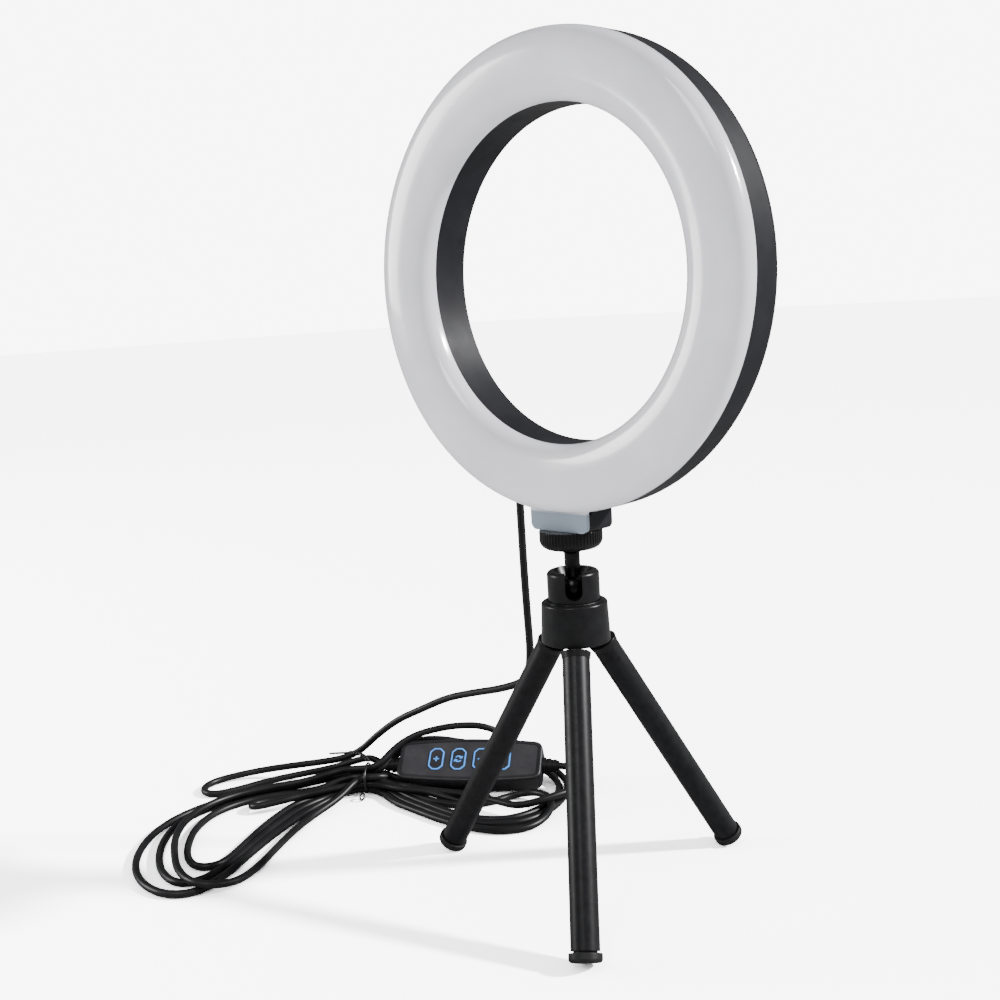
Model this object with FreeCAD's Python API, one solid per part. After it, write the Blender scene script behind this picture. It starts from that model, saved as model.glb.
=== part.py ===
"""Desk ring light: a ring lamp on a ball-headed pocket tripod, with its in-line controller and USB lead.

Frame: +Z up, the lamp faces -Y, and the feet stand on Z = 0. Everything is first modelled about the tripod's
own upright axis, and is then moved so that the origin is under the middle of the lamp and tripod.
"""

import FreeCAD, Part
import os
from math import acos, atan2, cos, degrees, hypot, pi, radians, sin, sqrt, tan

V = FreeCAD.Vector
UP = V(0, 0, 1)
FORE = V(0, 1, 0)
ORIGIN = V(0, 0, 0)

# clearances
RUNNING_GAP = 0.05      # radial, a shaft turning in its hole
FIT_GAP = 0.1           # between pieces of one body that sit in each other
FREE_GAP = 0.3          # between pieces that move past each other

# lamp ring, seen along Y: its outer and inner walls and the white front
RING_R = 80.0
HOLE_R = 56.6
WALL = 1.8
OUTER_WALL_DEPTH = 13.9
INNER_WALL_DEPTH = 15.0
INNER_WALL_SETBACK = 1.0    # the inner wall's front edge lies this far behind the outer wall's
REAR_EDGE_R = 4.0
RING_FRONT_Y = -3.5         # front edge of the outer wall, from the tripod's axis
DOME_HEIGHT = 7.4
DOME_POWER = 2.8            # of the superellipse: 2 is an ellipse, more is squarer
DOME_WALL = 1.6
LIP_DEPTH = 3.0
LIP_WALL = 1.4

# light board and its two rows of chips
BOARD_WALL = 1.2
BOARD_MARGIN = 2.2          # from the housing's walls
BOARD_Y = 6.6               # its front face
CHIP = 2.4
CHIP_HEIGHT = 0.7
CHIPS_PER_ROW = 24
CHIP_ROW_OFFSET = 4.3       # each side of the ring's middle radius

# screws through the back
SCREW_COUNT = 4
SCREW_R = 1.2
SCREW_HEAD_R = 2.3
SCREW_HEAD = 1.3
POST_R = 2.6
BOSS_R = 3.6
BOSS_DEPTH = 3.6

# mounting block under the ring
BLOCK_WIDTH = 25.2
BLOCK_DROP = 6.4            # below the ring's lowest point
BLOCK_REAR_Y = 7.6
BLOCK_CORNER_R = 2.4
TAB_FRONT_Y = -6.2
TAB_WALL = 1.5
INSERT_R = 4.5
THREAD_R = 3.1              # quarter-inch camera thread
THREAD_DEPTH = 5.8

# lead gland on the back
GLAND_X = -37.8
GLAND_UNDER_CENTRE = 60.0
GLAND_R = 3.3
GLAND_TIP_R = 2.3
GLAND_DROP = 14.0
GLAND_STANDOFF = 15.5       # its barrel's axis, in Y

# ball head
BALL_R = 5.25
STEM_R = 2.75
STEM_FLANGE_R = 5.0
STEM_FLANGE = 1.7
BALL_TO_KNOB = 14.2
KNOB_R = 11.05
KNOB_HEIGHT = 6.6
KNOB_EDGE_R = 3.4
KNURL_COUNT = 56
KNURL_DEPTH = 0.35
SOCKET_R = 9.2
SOCKET_ABOVE_BALL = 6.4
SOCKET_BELOW_BALL = 4.6
SOCKET_EDGE_R = 1.5
SOCKET_TAIL_R = 7.5
SOCKET_TAIL = 5.5
SEAT_MOUTH_R = 4.6
SOCKET_MOUTH_R = 6.9
SOCKET_BORE_R = 5.6
NOTCH_GAP = 0.2             # each side of the stem
NOTCH_ANGLE = -48.9         # degrees from +X

# hub that the legs fold into
HUB_TOP_R = 11.6
HUB_BOTTOM_R = 12.25
HUB_HEIGHT = 14.5
HUB_WALL = 1.4
HUB_EDGE_R = 0.9
HUB_FLOOR = 1.2
HUB_BEAD_R = 10.2
HUB_BEAD = 0.5
PIVOT_R = 7.0
PIVOT_ABOVE_SKIRT = 3.8
PIN_R = 1.0
EAR_WALL = 1.7
PAD_R = 5.2

# legs, measured along each leg from its pivot
LEG_COUNT = 3
LEG_NAMES = ("front", "right", "left")
FRONT_LEG_ANGLE = -51.3     # degrees from +X
LEG_LEAN = 31.0
LEG_LENGTH = 107.0
EYE_R = 3.0
TONGUE_WALL = 4.2
TONGUE_OUT = 0.9
COLLAR_START = 6.3
COLLAR_R = 5.3
COLLAR = 2.4
TUBE_R = 4.75
TUBE_WALL = 0.75
PLUG_IN = 12.0
RIVET_R = 0.6
RIVET_AT = 14.0
FOOT_R = 5.5
FOOT_HEIGHT = 3.0
FOOT_EDGE_R = 1.2
FOOT_GAP = 0.6              # the dark line between tube and cap
FOOT_PLUG = 8.0

# in-line controller, lying on the table behind the left leg
CASE_LENGTH = 63.5
CASE_WIDTH = 22.0
CASE_END_WIDTH = 18.6
CASE_HEIGHT = 9.5
CASE_SPLIT = 4.6
CASE_WALL = 1.5
CASE_CORNER_R = 4.0
CASE_EDGE_R = 1.0
OVERLAY_MARGIN = 1.9
OVERLAY = 0.5
KEY_PITCH = 9.85
KEY_WIDTH = 5.8
KEY_LENGTH = 10.2
KEY_GAP = 0.2
KEY_CORNER = 2.0
KEY_FLANGE = 0.9
KEY_PROUD = 0.25
KEY_TRAVEL = 0.4
KEY_NAMES = ("brighter_button", "mode_button", "dimmer_button", "power_button")
FRAME_WIDTH = 0.8
FRAME_HEIGHT = 0.2
BOARD_LENGTH = 56.0
BOARD_WIDTH = 12.0
SWITCH_R = 1.8
SWITCH_HEIGHT = 1.0
BOOT_R = 3.6
BOOT_NECK_R = 2.4
BOOT_LENGTH = 7.0
BOOT_RIBS = 3
CASE_MIDDLE = V(-98.9, 40.1, 0)     # plan position of the case's middle
CASE_HEADING = 34.0                 # degrees from +X, of its long axis
CASE_TILT = 35.0                    # its face leans forward by this

# USB plug, flat on the table behind the controller
PLUG_TAIL = V(-129.0, 45.5, 4.1)
PLUG_HEADING = 34.0
PLUG_LENGTH = 21.0
PLUG_WIDTH = 15.4
PLUG_HEIGHT = 8.2
PLUG_CORNER_R = 2.2
SHELL_LENGTH = 14.0
SHELL_WIDTH = 12.0
SHELL_HEIGHT = 4.5
SHELL_WALL = 0.35
TONGUE_THICK = 1.9

# cord, its routes and its tied hank: points chosen by hand, about the tripod's axis
CORD_D = 3.0
HANK_HEIGHT = 6.6
LOOPS_HEIGHT = 6.0
TIE_WIRE_R = 0.45
TIE_HALF_WIDTH = 6.7
TIE_HALF_HEIGHT = 6.1
TIE_MIDDLE = V(-133.6, 10.1, 6.6)
TIE_HEADING = 15.0                  # degrees from +X, of the cords that run through it
WAIST_GAP = 0.15
WAIST_BEFORE = 9.0
WAIST_AFTER = 2.5
RING_LEAD = [
    (-37.8, 15.5, 142.6), (-37.6, 15.3, 126.0), (-37.4, 15.2, 108.0), (-37.0, 15.2, 91.0), (-36.6, 15.4, 76.0),
    (-40.5, 17.0, 64.5), (-57.0, 20.0, 57.6), (-78.0, 24.0, 51.2), (-97.0, 26.5, 45.0), (-114.0, 27.2, 36.8),
    (-128.0, 25.0, 28.5), (-138.0, 20.4, 20.4), (-145.5, 15.0, 15.0),
]
CONTROLLER_LEAD_IN = [(-131.7, 18.1, 10.2), (-134.0, 17.2, 11.2), (-138.0, 16.2, 13.0), (-142.6, 14.2, 12.4)]
CONTROLLER_LEAD_OUT = [
    (-66.4, 62.0, 10.1), (-58.6, 66.5, 9.6), (-51.0, 67.0, 8.2), (-45.0, 61.0, 7.8), (-44.8, 54.0, 7.8),
]
PLUG_LEAD = [(-129.2, 45.4, 4.1), (-137.2, 38.8, 3.0), (-134.5, 32.0, 1.8), (-128.5, 26.0, 1.8)]
HANK_OUTLINE = [
    (-136.2, 15.2), (-150, 13.6), (-165, 8), (-179, 2), (-192, -5.5), (-201, -17), (-202.8, -29), (-197, -38.6),
    (-187, -40.5), (-180.5, -47), (-179.5, -60), (-171.5, -81), (-157, -95.5), (-141, -104), (-126, -107.2), (-113, -105.2),
    (-103.5, -96), (-100, -87), (-102.5, -75), (-109, -61), (-116.5, -47.5), (-123.5, -34), (-128.5, -21), (-129.6, -7),
    (-131, 1.5), (-133.4, 4.4),
]
LOOPS_OUTLINE = [
    (-129.4, 5.6), (-118, 3.4), (-98, 3.2), (-83, 2.6), (-66, 4), (-52.5, 9), (-45.2, 19), (-45.2, 38), (-50, 55),
    (-58, 65), (-66, 67.5), (-74, 65), (-63.8, 49.4), (-68, 43.5), (-90, 32.5), (-106, 20.5), (-119, 13.5), (-131.8, 15),
]

# worked out from the sizes above
LEAN = radians(LEG_LEAN)
PIVOT_H = ((LEG_LENGTH - FOOT_EDGE_R) * cos(LEAN) + (FOOT_R - FOOT_EDGE_R) * sin(LEAN) + FOOT_EDGE_R)
SKIRT_H = PIVOT_H - PIVOT_ABOVE_SKIRT
HUB_TOP_H = SKIRT_H + HUB_HEIGHT
BALL_H = HUB_TOP_H + SOCKET_BELOW_BALL
SOCKET_TOP_H = BALL_H + SOCKET_ABOVE_BALL
KNOB_H = BALL_H + BALL_TO_KNOB
KNOB_TOP_H = KNOB_H + KNOB_HEIGHT
BLOCK_H = KNOB_TOP_H + FIT_GAP
RING_H = BLOCK_H + BLOCK_DROP + RING_R
RING_MID_R = (RING_R + HOLE_R) / 2
OUTER_REAR_Y = RING_FRONT_Y + OUTER_WALL_DEPTH
INNER_FRONT_Y = RING_FRONT_Y + INNER_WALL_SETBACK
INNER_REAR_Y = INNER_FRONT_Y + INNER_WALL_DEPTH


# ---- shape helpers

def rounded_wire(points, radii, to_3d=lambda x, y: V(x, y, 0)):
    """Closed wire through 2-D points, each corner rounded by its radius (one number serves for all)."""
    count = len(points)
    if not isinstance(radii, (list, tuple)):
        radii = [radii] * count
    corners = []
    for i in range(count):
        here = V(*points[i], 0)
        back = (V(*points[i - 1], 0) - here).normalize()
        ahead = (V(*points[(i + 1) % count], 0) - here).normalize()
        if not radii[i]:
            corners.append((here, None, here))
            continue
        half = acos(max(-1.0, min(1.0, back.dot(ahead)))) / 2
        reach = radii[i] / tan(half)
        centre = here + (back + ahead).normalize() * (radii[i] / sin(half))
        middle = centre + (here - centre).normalize() * radii[i]
        corners.append((here + back * reach, middle, here + ahead * reach))
    edges = []
    for i, (start, middle, end) in enumerate(corners):
        lift = [to_3d(p.x, p.y) if p else None for p in (start, middle, end)]
        if middle:
            edges.append(Part.Arc(*lift).toShape())
        following = corners[(i + 1) % count][0]
        if (following - end).Length > 1e-6:
            edges.append(Part.LineSegment(lift[2], to_3d(following.x, following.y)).toShape())
    return Part.Wire(edges)


def prism(points, radii, low, high):
    """Upright prism over a rounded outline."""
    face = Part.Face(rounded_wire(points, radii))
    face.translate(V(0, 0, low))
    return face.extrude(V(0, 0, high - low))


def turned(points, radii=0):
    """Solid turned about Z from a closed (radius, height) outline."""
    face = Part.Face(rounded_wire(points, radii, lambda r, z: V(r, 0, z)))
    return face.revolve(ORIGIN, UP, 360)


def ring_turned(points, radii=0):
    """Solid turned about the ring's own axis from a closed (radius, Y) outline."""
    face = Part.Face(rounded_wire(points, radii, lambda r, y: V(r, y, 0)))
    solid = face.revolve(ORIGIN, FORE, 360)
    solid.translate(V(0, 0, RING_H))
    return solid


def rod(radius, start, end):
    """Cylinder from one point to another."""
    return Part.makeCylinder(radius, (end - start).Length, start, end - start)


def block(low, high):
    """Box between two corners."""
    size = high - low
    return Part.makeBox(size.x, size.y, size.z, low)


def around(shape, count, centre=ORIGIN, axis=UP, start=0.0):
    """Copies of a shape spread evenly round an axis."""
    copies = []
    for i in range(count):
        copy = shape.copy()
        copy.rotate(centre, axis, start + 360.0 * i / count)
        copies.append(copy)
    return copies


def at_angle(shape, angle):
    """Shape turned about the tripod's axis."""
    copy = shape.copy()
    copy.rotate(ORIGIN, UP, angle)
    return copy


# ---- lamp ring

def dome_points(height, half_width):
    """Points of the white front's section, a superellipse standing on a line between the two walls' front edges."""
    points = []
    steps = 28
    for i in range(steps + 1):
        t = pi * i / steps
        c, s = cos(t), sin(t)
        r = RING_MID_R + half_width * (1 if c > 0 else -1) * abs(c) ** (2 / DOME_POWER)
        rise = height * abs(s) ** (2 / DOME_POWER)
        base = RING_FRONT_Y + INNER_WALL_SETBACK * (RING_R - r) / (RING_R - HOLE_R)
        points.append(V(r, base - rise, 0))
    return points


def spline(points):
    curve = Part.BSplineCurve()
    curve.interpolate(points)
    return curve.toShape()


def diffuser():
    """White front: a domed ring with two lips that reach into the housing, screw posts, and a tab over the block."""
    half_width = (RING_R - HOLE_R) / 2
    outer = dome_points(DOME_HEIGHT, half_width)
    inner = dome_points(DOME_HEIGHT - DOME_WALL, half_width - WALL - FIT_GAP - LIP_WALL)
    outside_lip_r = RING_R - WALL - FIT_GAP
    inside_lip_r = HOLE_R + WALL + FIT_GAP
    corners = [
        outer[-1], V(inside_lip_r, INNER_FRONT_Y, 0), V(inside_lip_r, INNER_FRONT_Y + LIP_DEPTH, 0),
        V(inner[-1].x, INNER_FRONT_Y + LIP_DEPTH, 0), inner[-1],
    ]
    corners_back = [
        inner[0], V(inner[0].x, RING_FRONT_Y + LIP_DEPTH, 0), V(outside_lip_r, RING_FRONT_Y + LIP_DEPTH, 0),
        V(outside_lip_r, RING_FRONT_Y, 0), outer[0],
    ]
    edges = [spline(outer)]
    edges += [Part.LineSegment(a, b).toShape() for a, b in zip(corners, corners[1:])]
    edges.append(spline(inner[::-1]))
    edges += [Part.LineSegment(a, b).toShape() for a, b in zip(corners_back, corners_back[1:])]
    shell = Part.Face(Part.Wire(edges)).revolve(ORIGIN, FORE, 360)
    roof_y = RING_FRONT_Y + INNER_WALL_SETBACK / 2 - DOME_HEIGHT + DOME_WALL / 2
    post = rod(POST_R, V(RING_MID_R, roof_y, 0), V(RING_MID_R, BOARD_Y - FIT_GAP, 0))
    pilot = rod(SCREW_R + FIT_GAP, V(RING_MID_R, RING_FRONT_Y, 0), V(RING_MID_R, BOARD_Y, 0))
    posts = around(post.cut(pilot), SCREW_COUNT, ORIGIN, FORE, 45)
    shell = shell.multiFuse(posts)
    shell.translate(V(0, 0, RING_H))
    return shell.fuse(block_slice(TAB_FRONT_Y, TAB_FRONT_Y + TAB_WALL, DOME_WALL)).removeSplitter()


def block_slice(front, rear, overlap):
    """Slice of the block's outline between two planes, reaching up into the ring's wall by an overlap."""
    side = BLOCK_WIDTH / 2
    top = RING_H - RING_R + overlap * 0.8
    outline = [(-side, BLOCK_H), (side, BLOCK_H), (side, top), (-side, top)]
    radii = [BLOCK_CORNER_R, BLOCK_CORNER_R, 0, 0]
    face = Part.Face(rounded_wire(outline, radii, lambda x, z: V(x, front, z)))
    return face.extrude(V(0, rear - front, 0))


def screw_spots():
    """Middles of the back screws, in the plane of the ring."""
    spots = []
    for i in range(SCREW_COUNT):
        a = radians(45 + 360.0 * i / SCREW_COUNT)
        spots.append((RING_MID_R * cos(a), RING_H - RING_MID_R * sin(a)))
    return spots


def back_y(radius):
    """Y of the sloping back at a radius."""
    return INNER_REAR_Y + (OUTER_REAR_Y - INNER_REAR_Y) * (radius - HOLE_R) / (RING_R - HOLE_R)


def rear_housing():
    """Black channel behind the white front, with screw bosses, and the block under it."""
    outline = [
        (RING_R, RING_FRONT_Y), (RING_R, OUTER_REAR_Y), (HOLE_R, INNER_REAR_Y), (HOLE_R, INNER_FRONT_Y),
        (HOLE_R + WALL, INNER_FRONT_Y), (HOLE_R + WALL, back_y(HOLE_R + WALL) - WALL),
        (RING_R - WALL, back_y(RING_R - WALL) - WALL), (RING_R - WALL, RING_FRONT_Y),
    ]
    shell = ring_turned(outline, [0, REAR_EDGE_R, 0.8, 0, 0, 0, REAR_EDGE_R - WALL, 0])
    back = back_y(RING_MID_R)
    bosses = [rod(BOSS_R, V(x, back - BOSS_DEPTH, z), V(x, back - WALL / 2, z)) for x, z in screw_spots()]
    body = block_slice(RING_FRONT_Y, BLOCK_REAR_Y, WALL)
    under_ring = block_slice(TAB_FRONT_Y + TAB_WALL + FIT_GAP / 2, RING_FRONT_Y, -FREE_GAP)
    shell = shell.multiFuse(bosses + [body, under_ring])
    cuts = [rod(INSERT_R + FIT_GAP / 2, V(0, 0, BLOCK_H - 1), V(0, 0, BLOCK_H + THREAD_DEPTH + FIT_GAP))]
    for x, z in screw_spots():
        cuts.append(rod(SCREW_R + FREE_GAP, V(x, 0, z), V(x, back + 2, z)))
        cuts.append(rod(SCREW_HEAD_R + FREE_GAP, V(x, back - SCREW_HEAD - 0.4, z), V(x, back + 2, z)))
    gland_h = RING_H - GLAND_UNDER_CENTRE
    cuts.append(rod(GLAND_R - 0.6 + FIT_GAP, V(GLAND_X, 5, gland_h), V(GLAND_X, back + 4, gland_h)))
    return shell.cut(Part.makeCompound(cuts)).removeSplitter()


def housing_screws():
    back = back_y(RING_MID_R)
    screws = []
    for x, z in screw_spots():
        head_y = back - SCREW_HEAD - 0.3
        head = rod(SCREW_HEAD_R, V(x, head_y, z), V(x, head_y + SCREW_HEAD, z))
        shank = rod(SCREW_R, V(x, RING_FRONT_Y + 1.5, z), V(x, head_y + 0.1, z))
        slots = [block(V(x - 1.3, head_y + 0.7, z - 0.25), V(x + 1.3, head_y + 2, z + 0.25))]
        slots.append(block(V(x - 0.25, head_y + 0.7, z - 1.3), V(x + 0.25, head_y + 2, z + 1.3)))
        screws.append(head.fuse(shank).cut(Part.makeCompound(slots)))
    return Part.makeCompound(screws)


def led_board():
    inner = HOLE_R + BOARD_MARGIN
    outer = RING_R - BOARD_MARGIN - WALL
    outline = [(inner, BOARD_Y), (outer, BOARD_Y), (outer, BOARD_Y + BOARD_WALL), (inner, BOARD_Y + BOARD_WALL)]
    board = ring_turned(outline)
    holes = [rod(SCREW_R + FREE_GAP, V(x, 0, z), V(x, 20, z)) for x, z in screw_spots()]
    gland_h = RING_H - GLAND_UNDER_CENTRE
    holes.append(rod(GLAND_R, V(GLAND_X, 0, gland_h), V(GLAND_X, 20, gland_h)))
    return board.cut(Part.makeCompound(holes))


def led_row(offset, turn):
    """One row of light chips, as separate solids round the board."""
    r = RING_MID_R + offset
    chip = block(V(r - CHIP / 2, BOARD_Y - CHIP_HEIGHT, -CHIP / 2), V(r + CHIP / 2, BOARD_Y, CHIP / 2))
    chips = around(chip, CHIPS_PER_ROW, ORIGIN, FORE, turn)
    row = Part.makeCompound(chips)
    row.translate(V(0, 0, RING_H))
    return row


def tripod_insert():
    """Brass bush with the camera thread's bore, flush with the block's underside."""
    bush = rod(INSERT_R, V(0, 0, BLOCK_H), V(0, 0, BLOCK_H + THREAD_DEPTH))
    return bush.cut(rod(THREAD_R, V(0, 0, BLOCK_H - 1), V(0, 0, BLOCK_H + THREAD_DEPTH + 1)))


def lead_gland():
    """Elbow on the back that turns the lead downwards."""
    top = RING_H - GLAND_UNDER_CENTRE
    neck = rod(GLAND_R - 0.6, V(GLAND_X, BOARD_Y + BOARD_WALL + FIT_GAP, top), V(GLAND_X, GLAND_STANDOFF, top))
    barrel = Part.makeCone(GLAND_R, GLAND_TIP_R, GLAND_DROP, V(GLAND_X, GLAND_STANDOFF, top), V(0, 0, -1))
    crown = Part.makeSphere(GLAND_R, V(GLAND_X, GLAND_STANDOFF, top))
    body = neck.multiFuse([barrel, crown])
    tip = top - GLAND_DROP
    body = body.cut(rod(CORD_D / 2, V(GLAND_X, GLAND_STANDOFF, tip - 1), V(GLAND_X, GLAND_STANDOFF, RING_LEAD[0][2])))
    return body.removeSplitter()


# ---- ball head

def ball_stud():
    """Ball, stem and the threaded tip that screws into the block, in one turned piece."""
    centre = V(0, 0, BALL_H)
    ball = Part.makeSphere(BALL_R, centre)
    stem = rod(STEM_R, centre, V(0, 0, KNOB_TOP_H))
    flange = Part.makeCone(STEM_R, STEM_FLANGE_R, STEM_FLANGE, V(0, 0, KNOB_H - STEM_FLANGE), UP)
    tip = rod(THREAD_R - RUNNING_GAP, V(0, 0, KNOB_TOP_H), V(0, 0, BLOCK_H + THREAD_DEPTH - 0.8))
    return ball.multiFuse([stem, flange, tip]).removeSplitter()


def knurled_knob():
    """Finger wheel fixed on the stem, ribbed all round."""
    outline = [(STEM_R, KNOB_H), (KNOB_R, KNOB_H), (KNOB_R, KNOB_TOP_H), (STEM_R, KNOB_TOP_H)]
    wheel = turned(outline, [0, KNOB_EDGE_R, 0.3, 0])
    groove = rod(KNURL_DEPTH, V(KNOB_R, 0, KNOB_H - 1), V(KNOB_R, 0, KNOB_TOP_H + 1))
    return wheel.cut(Part.makeCompound(around(groove, KNURL_COUNT)))


def ball_socket():
    """Cup that screws into the hub and holds the ball, with a notch that lets the stem fold down to one side."""
    bottom = HUB_TOP_H
    seat_r = BALL_R + RUNNING_GAP
    seat_rise = sqrt(seat_r ** 2 - SEAT_MOUTH_R ** 2)
    outline = [
        (0, bottom - SOCKET_TAIL), (SOCKET_TAIL_R, bottom - SOCKET_TAIL), (SOCKET_TAIL_R, bottom), (SOCKET_R, bottom),
        (SOCKET_R, SOCKET_TOP_H), (0, SOCKET_TOP_H),
    ]
    cup = turned(outline, [0, 0, 0, 0.5, SOCKET_EDGE_R, 0])
    bore = rod(SOCKET_BORE_R, V(0, 0, bottom - SOCKET_TAIL - 1), V(0, 0, BALL_H - 2.0))
    waist = rod(seat_r, V(0, 0, BALL_H - 3.0), V(0, 0, BALL_H))
    seat = Part.makeSphere(seat_r, V(0, 0, BALL_H))
    mouth_rise = SOCKET_ABOVE_BALL - seat_rise
    mouth = Part.makeCone(SEAT_MOUTH_R, SOCKET_MOUTH_R, mouth_rise, V(0, 0, BALL_H + seat_rise), UP)
    reach = SOCKET_R + 1
    notch_r = STEM_R + NOTCH_GAP
    notch = rod(notch_r, V(0, 0, BALL_H), V(reach, 0, BALL_H))
    notch = notch.fuse(block(V(0, -notch_r, BALL_H), V(reach, notch_r, SOCKET_TOP_H + 1)))
    cup = cup.cut(Part.makeCompound([bore]).fuse([waist, seat, mouth]))
    return cup.cut(at_angle(notch, NOTCH_ANGLE)).removeSplitter()


def ball_pad():
    """Dished plastic pad under the ball, pressed up when the cup is screwed down."""
    low = HUB_TOP_H - SOCKET_TAIL - FIT_GAP
    pad = rod(PAD_R, V(0, 0, low), V(0, 0, BALL_H - BALL_R + 1.0))
    return pad.cut(Part.makeSphere(BALL_R + RUNNING_GAP, V(0, 0, BALL_H)))


# ---- hub and legs

def leg_angles():
    return [FRONT_LEG_ANGLE + 360.0 * i / LEG_COUNT for i in range(LEG_COUNT)]


def leg_hub():
    """Flared cap whose hollow underside holds the legs' pivots between pairs of ears."""
    bore_h = HUB_TOP_H - SOCKET_TAIL - 2 * FIT_GAP
    roof = bore_h - HUB_FLOOR
    outline = [(0, SKIRT_H), (HUB_BOTTOM_R, SKIRT_H), (HUB_TOP_R, HUB_TOP_H), (0, HUB_TOP_H)]
    cap = turned(outline, [0, 0.4, HUB_EDGE_R, 0])
    bead = turned([(SOCKET_R + FREE_GAP, HUB_TOP_H - 0.5), (HUB_BEAD_R, HUB_TOP_H - 0.5),
                   (HUB_BEAD_R, HUB_TOP_H + HUB_BEAD), (SOCKET_R + FREE_GAP, HUB_TOP_H + HUB_BEAD)], [0, 0, 0.2, 0.2])
    hollow = rod(HUB_BOTTOM_R - HUB_WALL, V(0, 0, SKIRT_H - 1), V(0, 0, roof))
    socket_bore = rod(SOCKET_TAIL_R + RUNNING_GAP, V(0, 0, bore_h), V(0, 0, HUB_TOP_H + 1))
    cap = cap.fuse(bead).cut(Part.makeCompound([hollow, socket_bore]))
    ear_low = PIVOT_H - EYE_R + 0.6
    half_gap = TONGUE_WALL / 2 + 0.15
    ears = []
    for angle in leg_angles():
        for side in (-1, 1):
            near, far = sorted((side * half_gap, side * (half_gap + EAR_WALL)))
            ear = block(V(PIVOT_R - EYE_R + 0.4, near, ear_low), V(HUB_BOTTOM_R - HUB_WALL + 0.2, far, roof + 0.2))
            ears.append(at_angle(ear, angle))
    cap = cap.multiFuse(ears)
    return cap.cut(Part.makeCompound(pin_rods(PIN_R + RUNNING_GAP, FIT_GAP))).removeSplitter()


def pin_rods(radius, extra=0.0):
    """Rods across each leg's pivot."""
    half = TONGUE_WALL / 2 + 0.15 + EAR_WALL + extra
    pin = rod(radius, V(PIVOT_R, -half, PIVOT_H), V(PIVOT_R, half, PIVOT_H))
    return [at_angle(pin, angle) for angle in leg_angles()]


def as_leg(shape, angle):
    """A piece modelled on an upright leg, pivot at the origin and outside towards +X, leant and put in its place."""
    copy = shape.copy()
    copy.rotate(ORIGIN, FORE, -LEG_LEAN)
    copy.translate(V(PIVOT_R, 0, PIVOT_H))
    return at_angle(copy, angle)


def leg_top():
    """Moulded leg end: the eye and tongue in the hub, the collar below it and the plug inside the tube."""
    half = TONGUE_WALL / 2
    eye = rod(EYE_R, V(0, -half, 0), V(0, half, 0))
    tongue = block(V(-EYE_R, -half, -COLLAR_START - 0.5), V(TONGUE_OUT, half, 0))
    low = -COLLAR_START - COLLAR
    collar = turned([(0, low), (TUBE_R + 0.1, low), (COLLAR_R, -COLLAR_START), (0, -COLLAR_START)], [0, 0, 0.3, 0])
    plug = rod(TUBE_R - TUBE_WALL - FIT_GAP, V(0, 0, low - PLUG_IN), V(0, 0, low + 0.1))
    body = eye.multiFuse([tongue, collar, plug])
    cuts = [rod(PIN_R + RUNNING_GAP, V(0, -half - 1, 0), V(0, half + 1, 0))]
    cuts.append(rod(RIVET_R + RUNNING_GAP, V(0, -TUBE_R - 1, -RIVET_AT), V(0, TUBE_R + 1, -RIVET_AT)))
    return body.cut(Part.makeCompound(cuts)).removeSplitter()


def leg_tube():
    top = -COLLAR_START - COLLAR - 0.05
    bottom = -LEG_LENGTH + FOOT_HEIGHT + FOOT_GAP
    tube = rod(TUBE_R, V(0, 0, bottom), V(0, 0, top))
    tube = tube.cut(rod(TUBE_R - TUBE_WALL, V(0, 0, bottom - 1), V(0, 0, top + 1)))
    return tube.cut(rod(RIVET_R + RUNNING_GAP, V(0, -TUBE_R - 1, -RIVET_AT), V(0, TUBE_R + 1, -RIVET_AT)))


def leg_rivet():
    return rod(RIVET_R, V(0, -TUBE_R - 0.05, -RIVET_AT), V(0, TUBE_R + 0.05, -RIVET_AT))


def foot():
    """Soft end cap: a round-edged disc on a neck, and the plug inside the tube."""
    low = -LEG_LENGTH
    cap = turned([(0, low), (FOOT_R, low), (FOOT_R, low + FOOT_HEIGHT), (0, low + FOOT_HEIGHT)],
                 [0, FOOT_EDGE_R, 0.4, 0])
    plug_r = TUBE_R - TUBE_WALL - FIT_GAP
    plug = rod(plug_r, V(0, 0, low + FOOT_HEIGHT - 0.1), V(0, 0, low + FOOT_HEIGHT + FOOT_GAP + FOOT_PLUG))
    return cap.fuse(plug).removeSplitter()


# ---- controller

def case_outline(inset):
    """Plan of the case, its long sides bowed outwards, moved in by an inset: (long, middle width, end width) halves."""
    return CASE_LENGTH / 2 - inset, CASE_WIDTH / 2 - inset, CASE_END_WIDTH / 2 - inset


def case_prism(inset, low, high, corner=CASE_CORNER_R):
    """Prism over the case's plan: straight ends, bowed sides and rounded corners."""
    long, middle, end = case_outline(inset)
    corner = max(corner - inset, 0.8)
    sweep = atan2(middle - end, long) * 2
    side_r = long / sin(sweep)
    points = []
    steps = 8
    for i in range(steps + 1):
        a = sweep * (1 - 2 * i / steps)
        points.append((side_r * sin(a), middle - side_r * (1 - cos(a))))
    outline = points + [(-x, -y) for x, y in points]
    radii = []
    for i in range(len(outline)):
        radii.append(corner if i % (steps + 1) in (0, steps) else 0)
    return prism(outline, radii, low, high)


def soft_edges(solid, height, radius):
    """Rounds the edges that lie in one level plane."""
    edges = [e for e in solid.Edges if all(abs(v.Z - height) < 1e-4 for v in e.Vertexes)]
    try_edges = [e for e in edges if abs(e.BoundBox.ZMax - e.BoundBox.ZMin) < 1e-4]
    return solid.makeFillet(radius, try_edges)


def key_outline(grow):
    """Long octagon of a key, grown by an amount."""
    w, h, c = KEY_WIDTH / 2 + grow, KEY_LENGTH / 2 + grow, KEY_CORNER + grow * 0.586
    return [(-w, -h + c), (-w + c, -h), (w - c, -h), (w, -h + c), (w, h - c), (w - c, h), (-w + c, h), (-w, h - c)]


def key_prism(x, grow, low, high):
    solid = prism(key_outline(grow), 0.5, low, high)
    solid.translate(V(x, 0, 0))
    return solid


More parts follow.
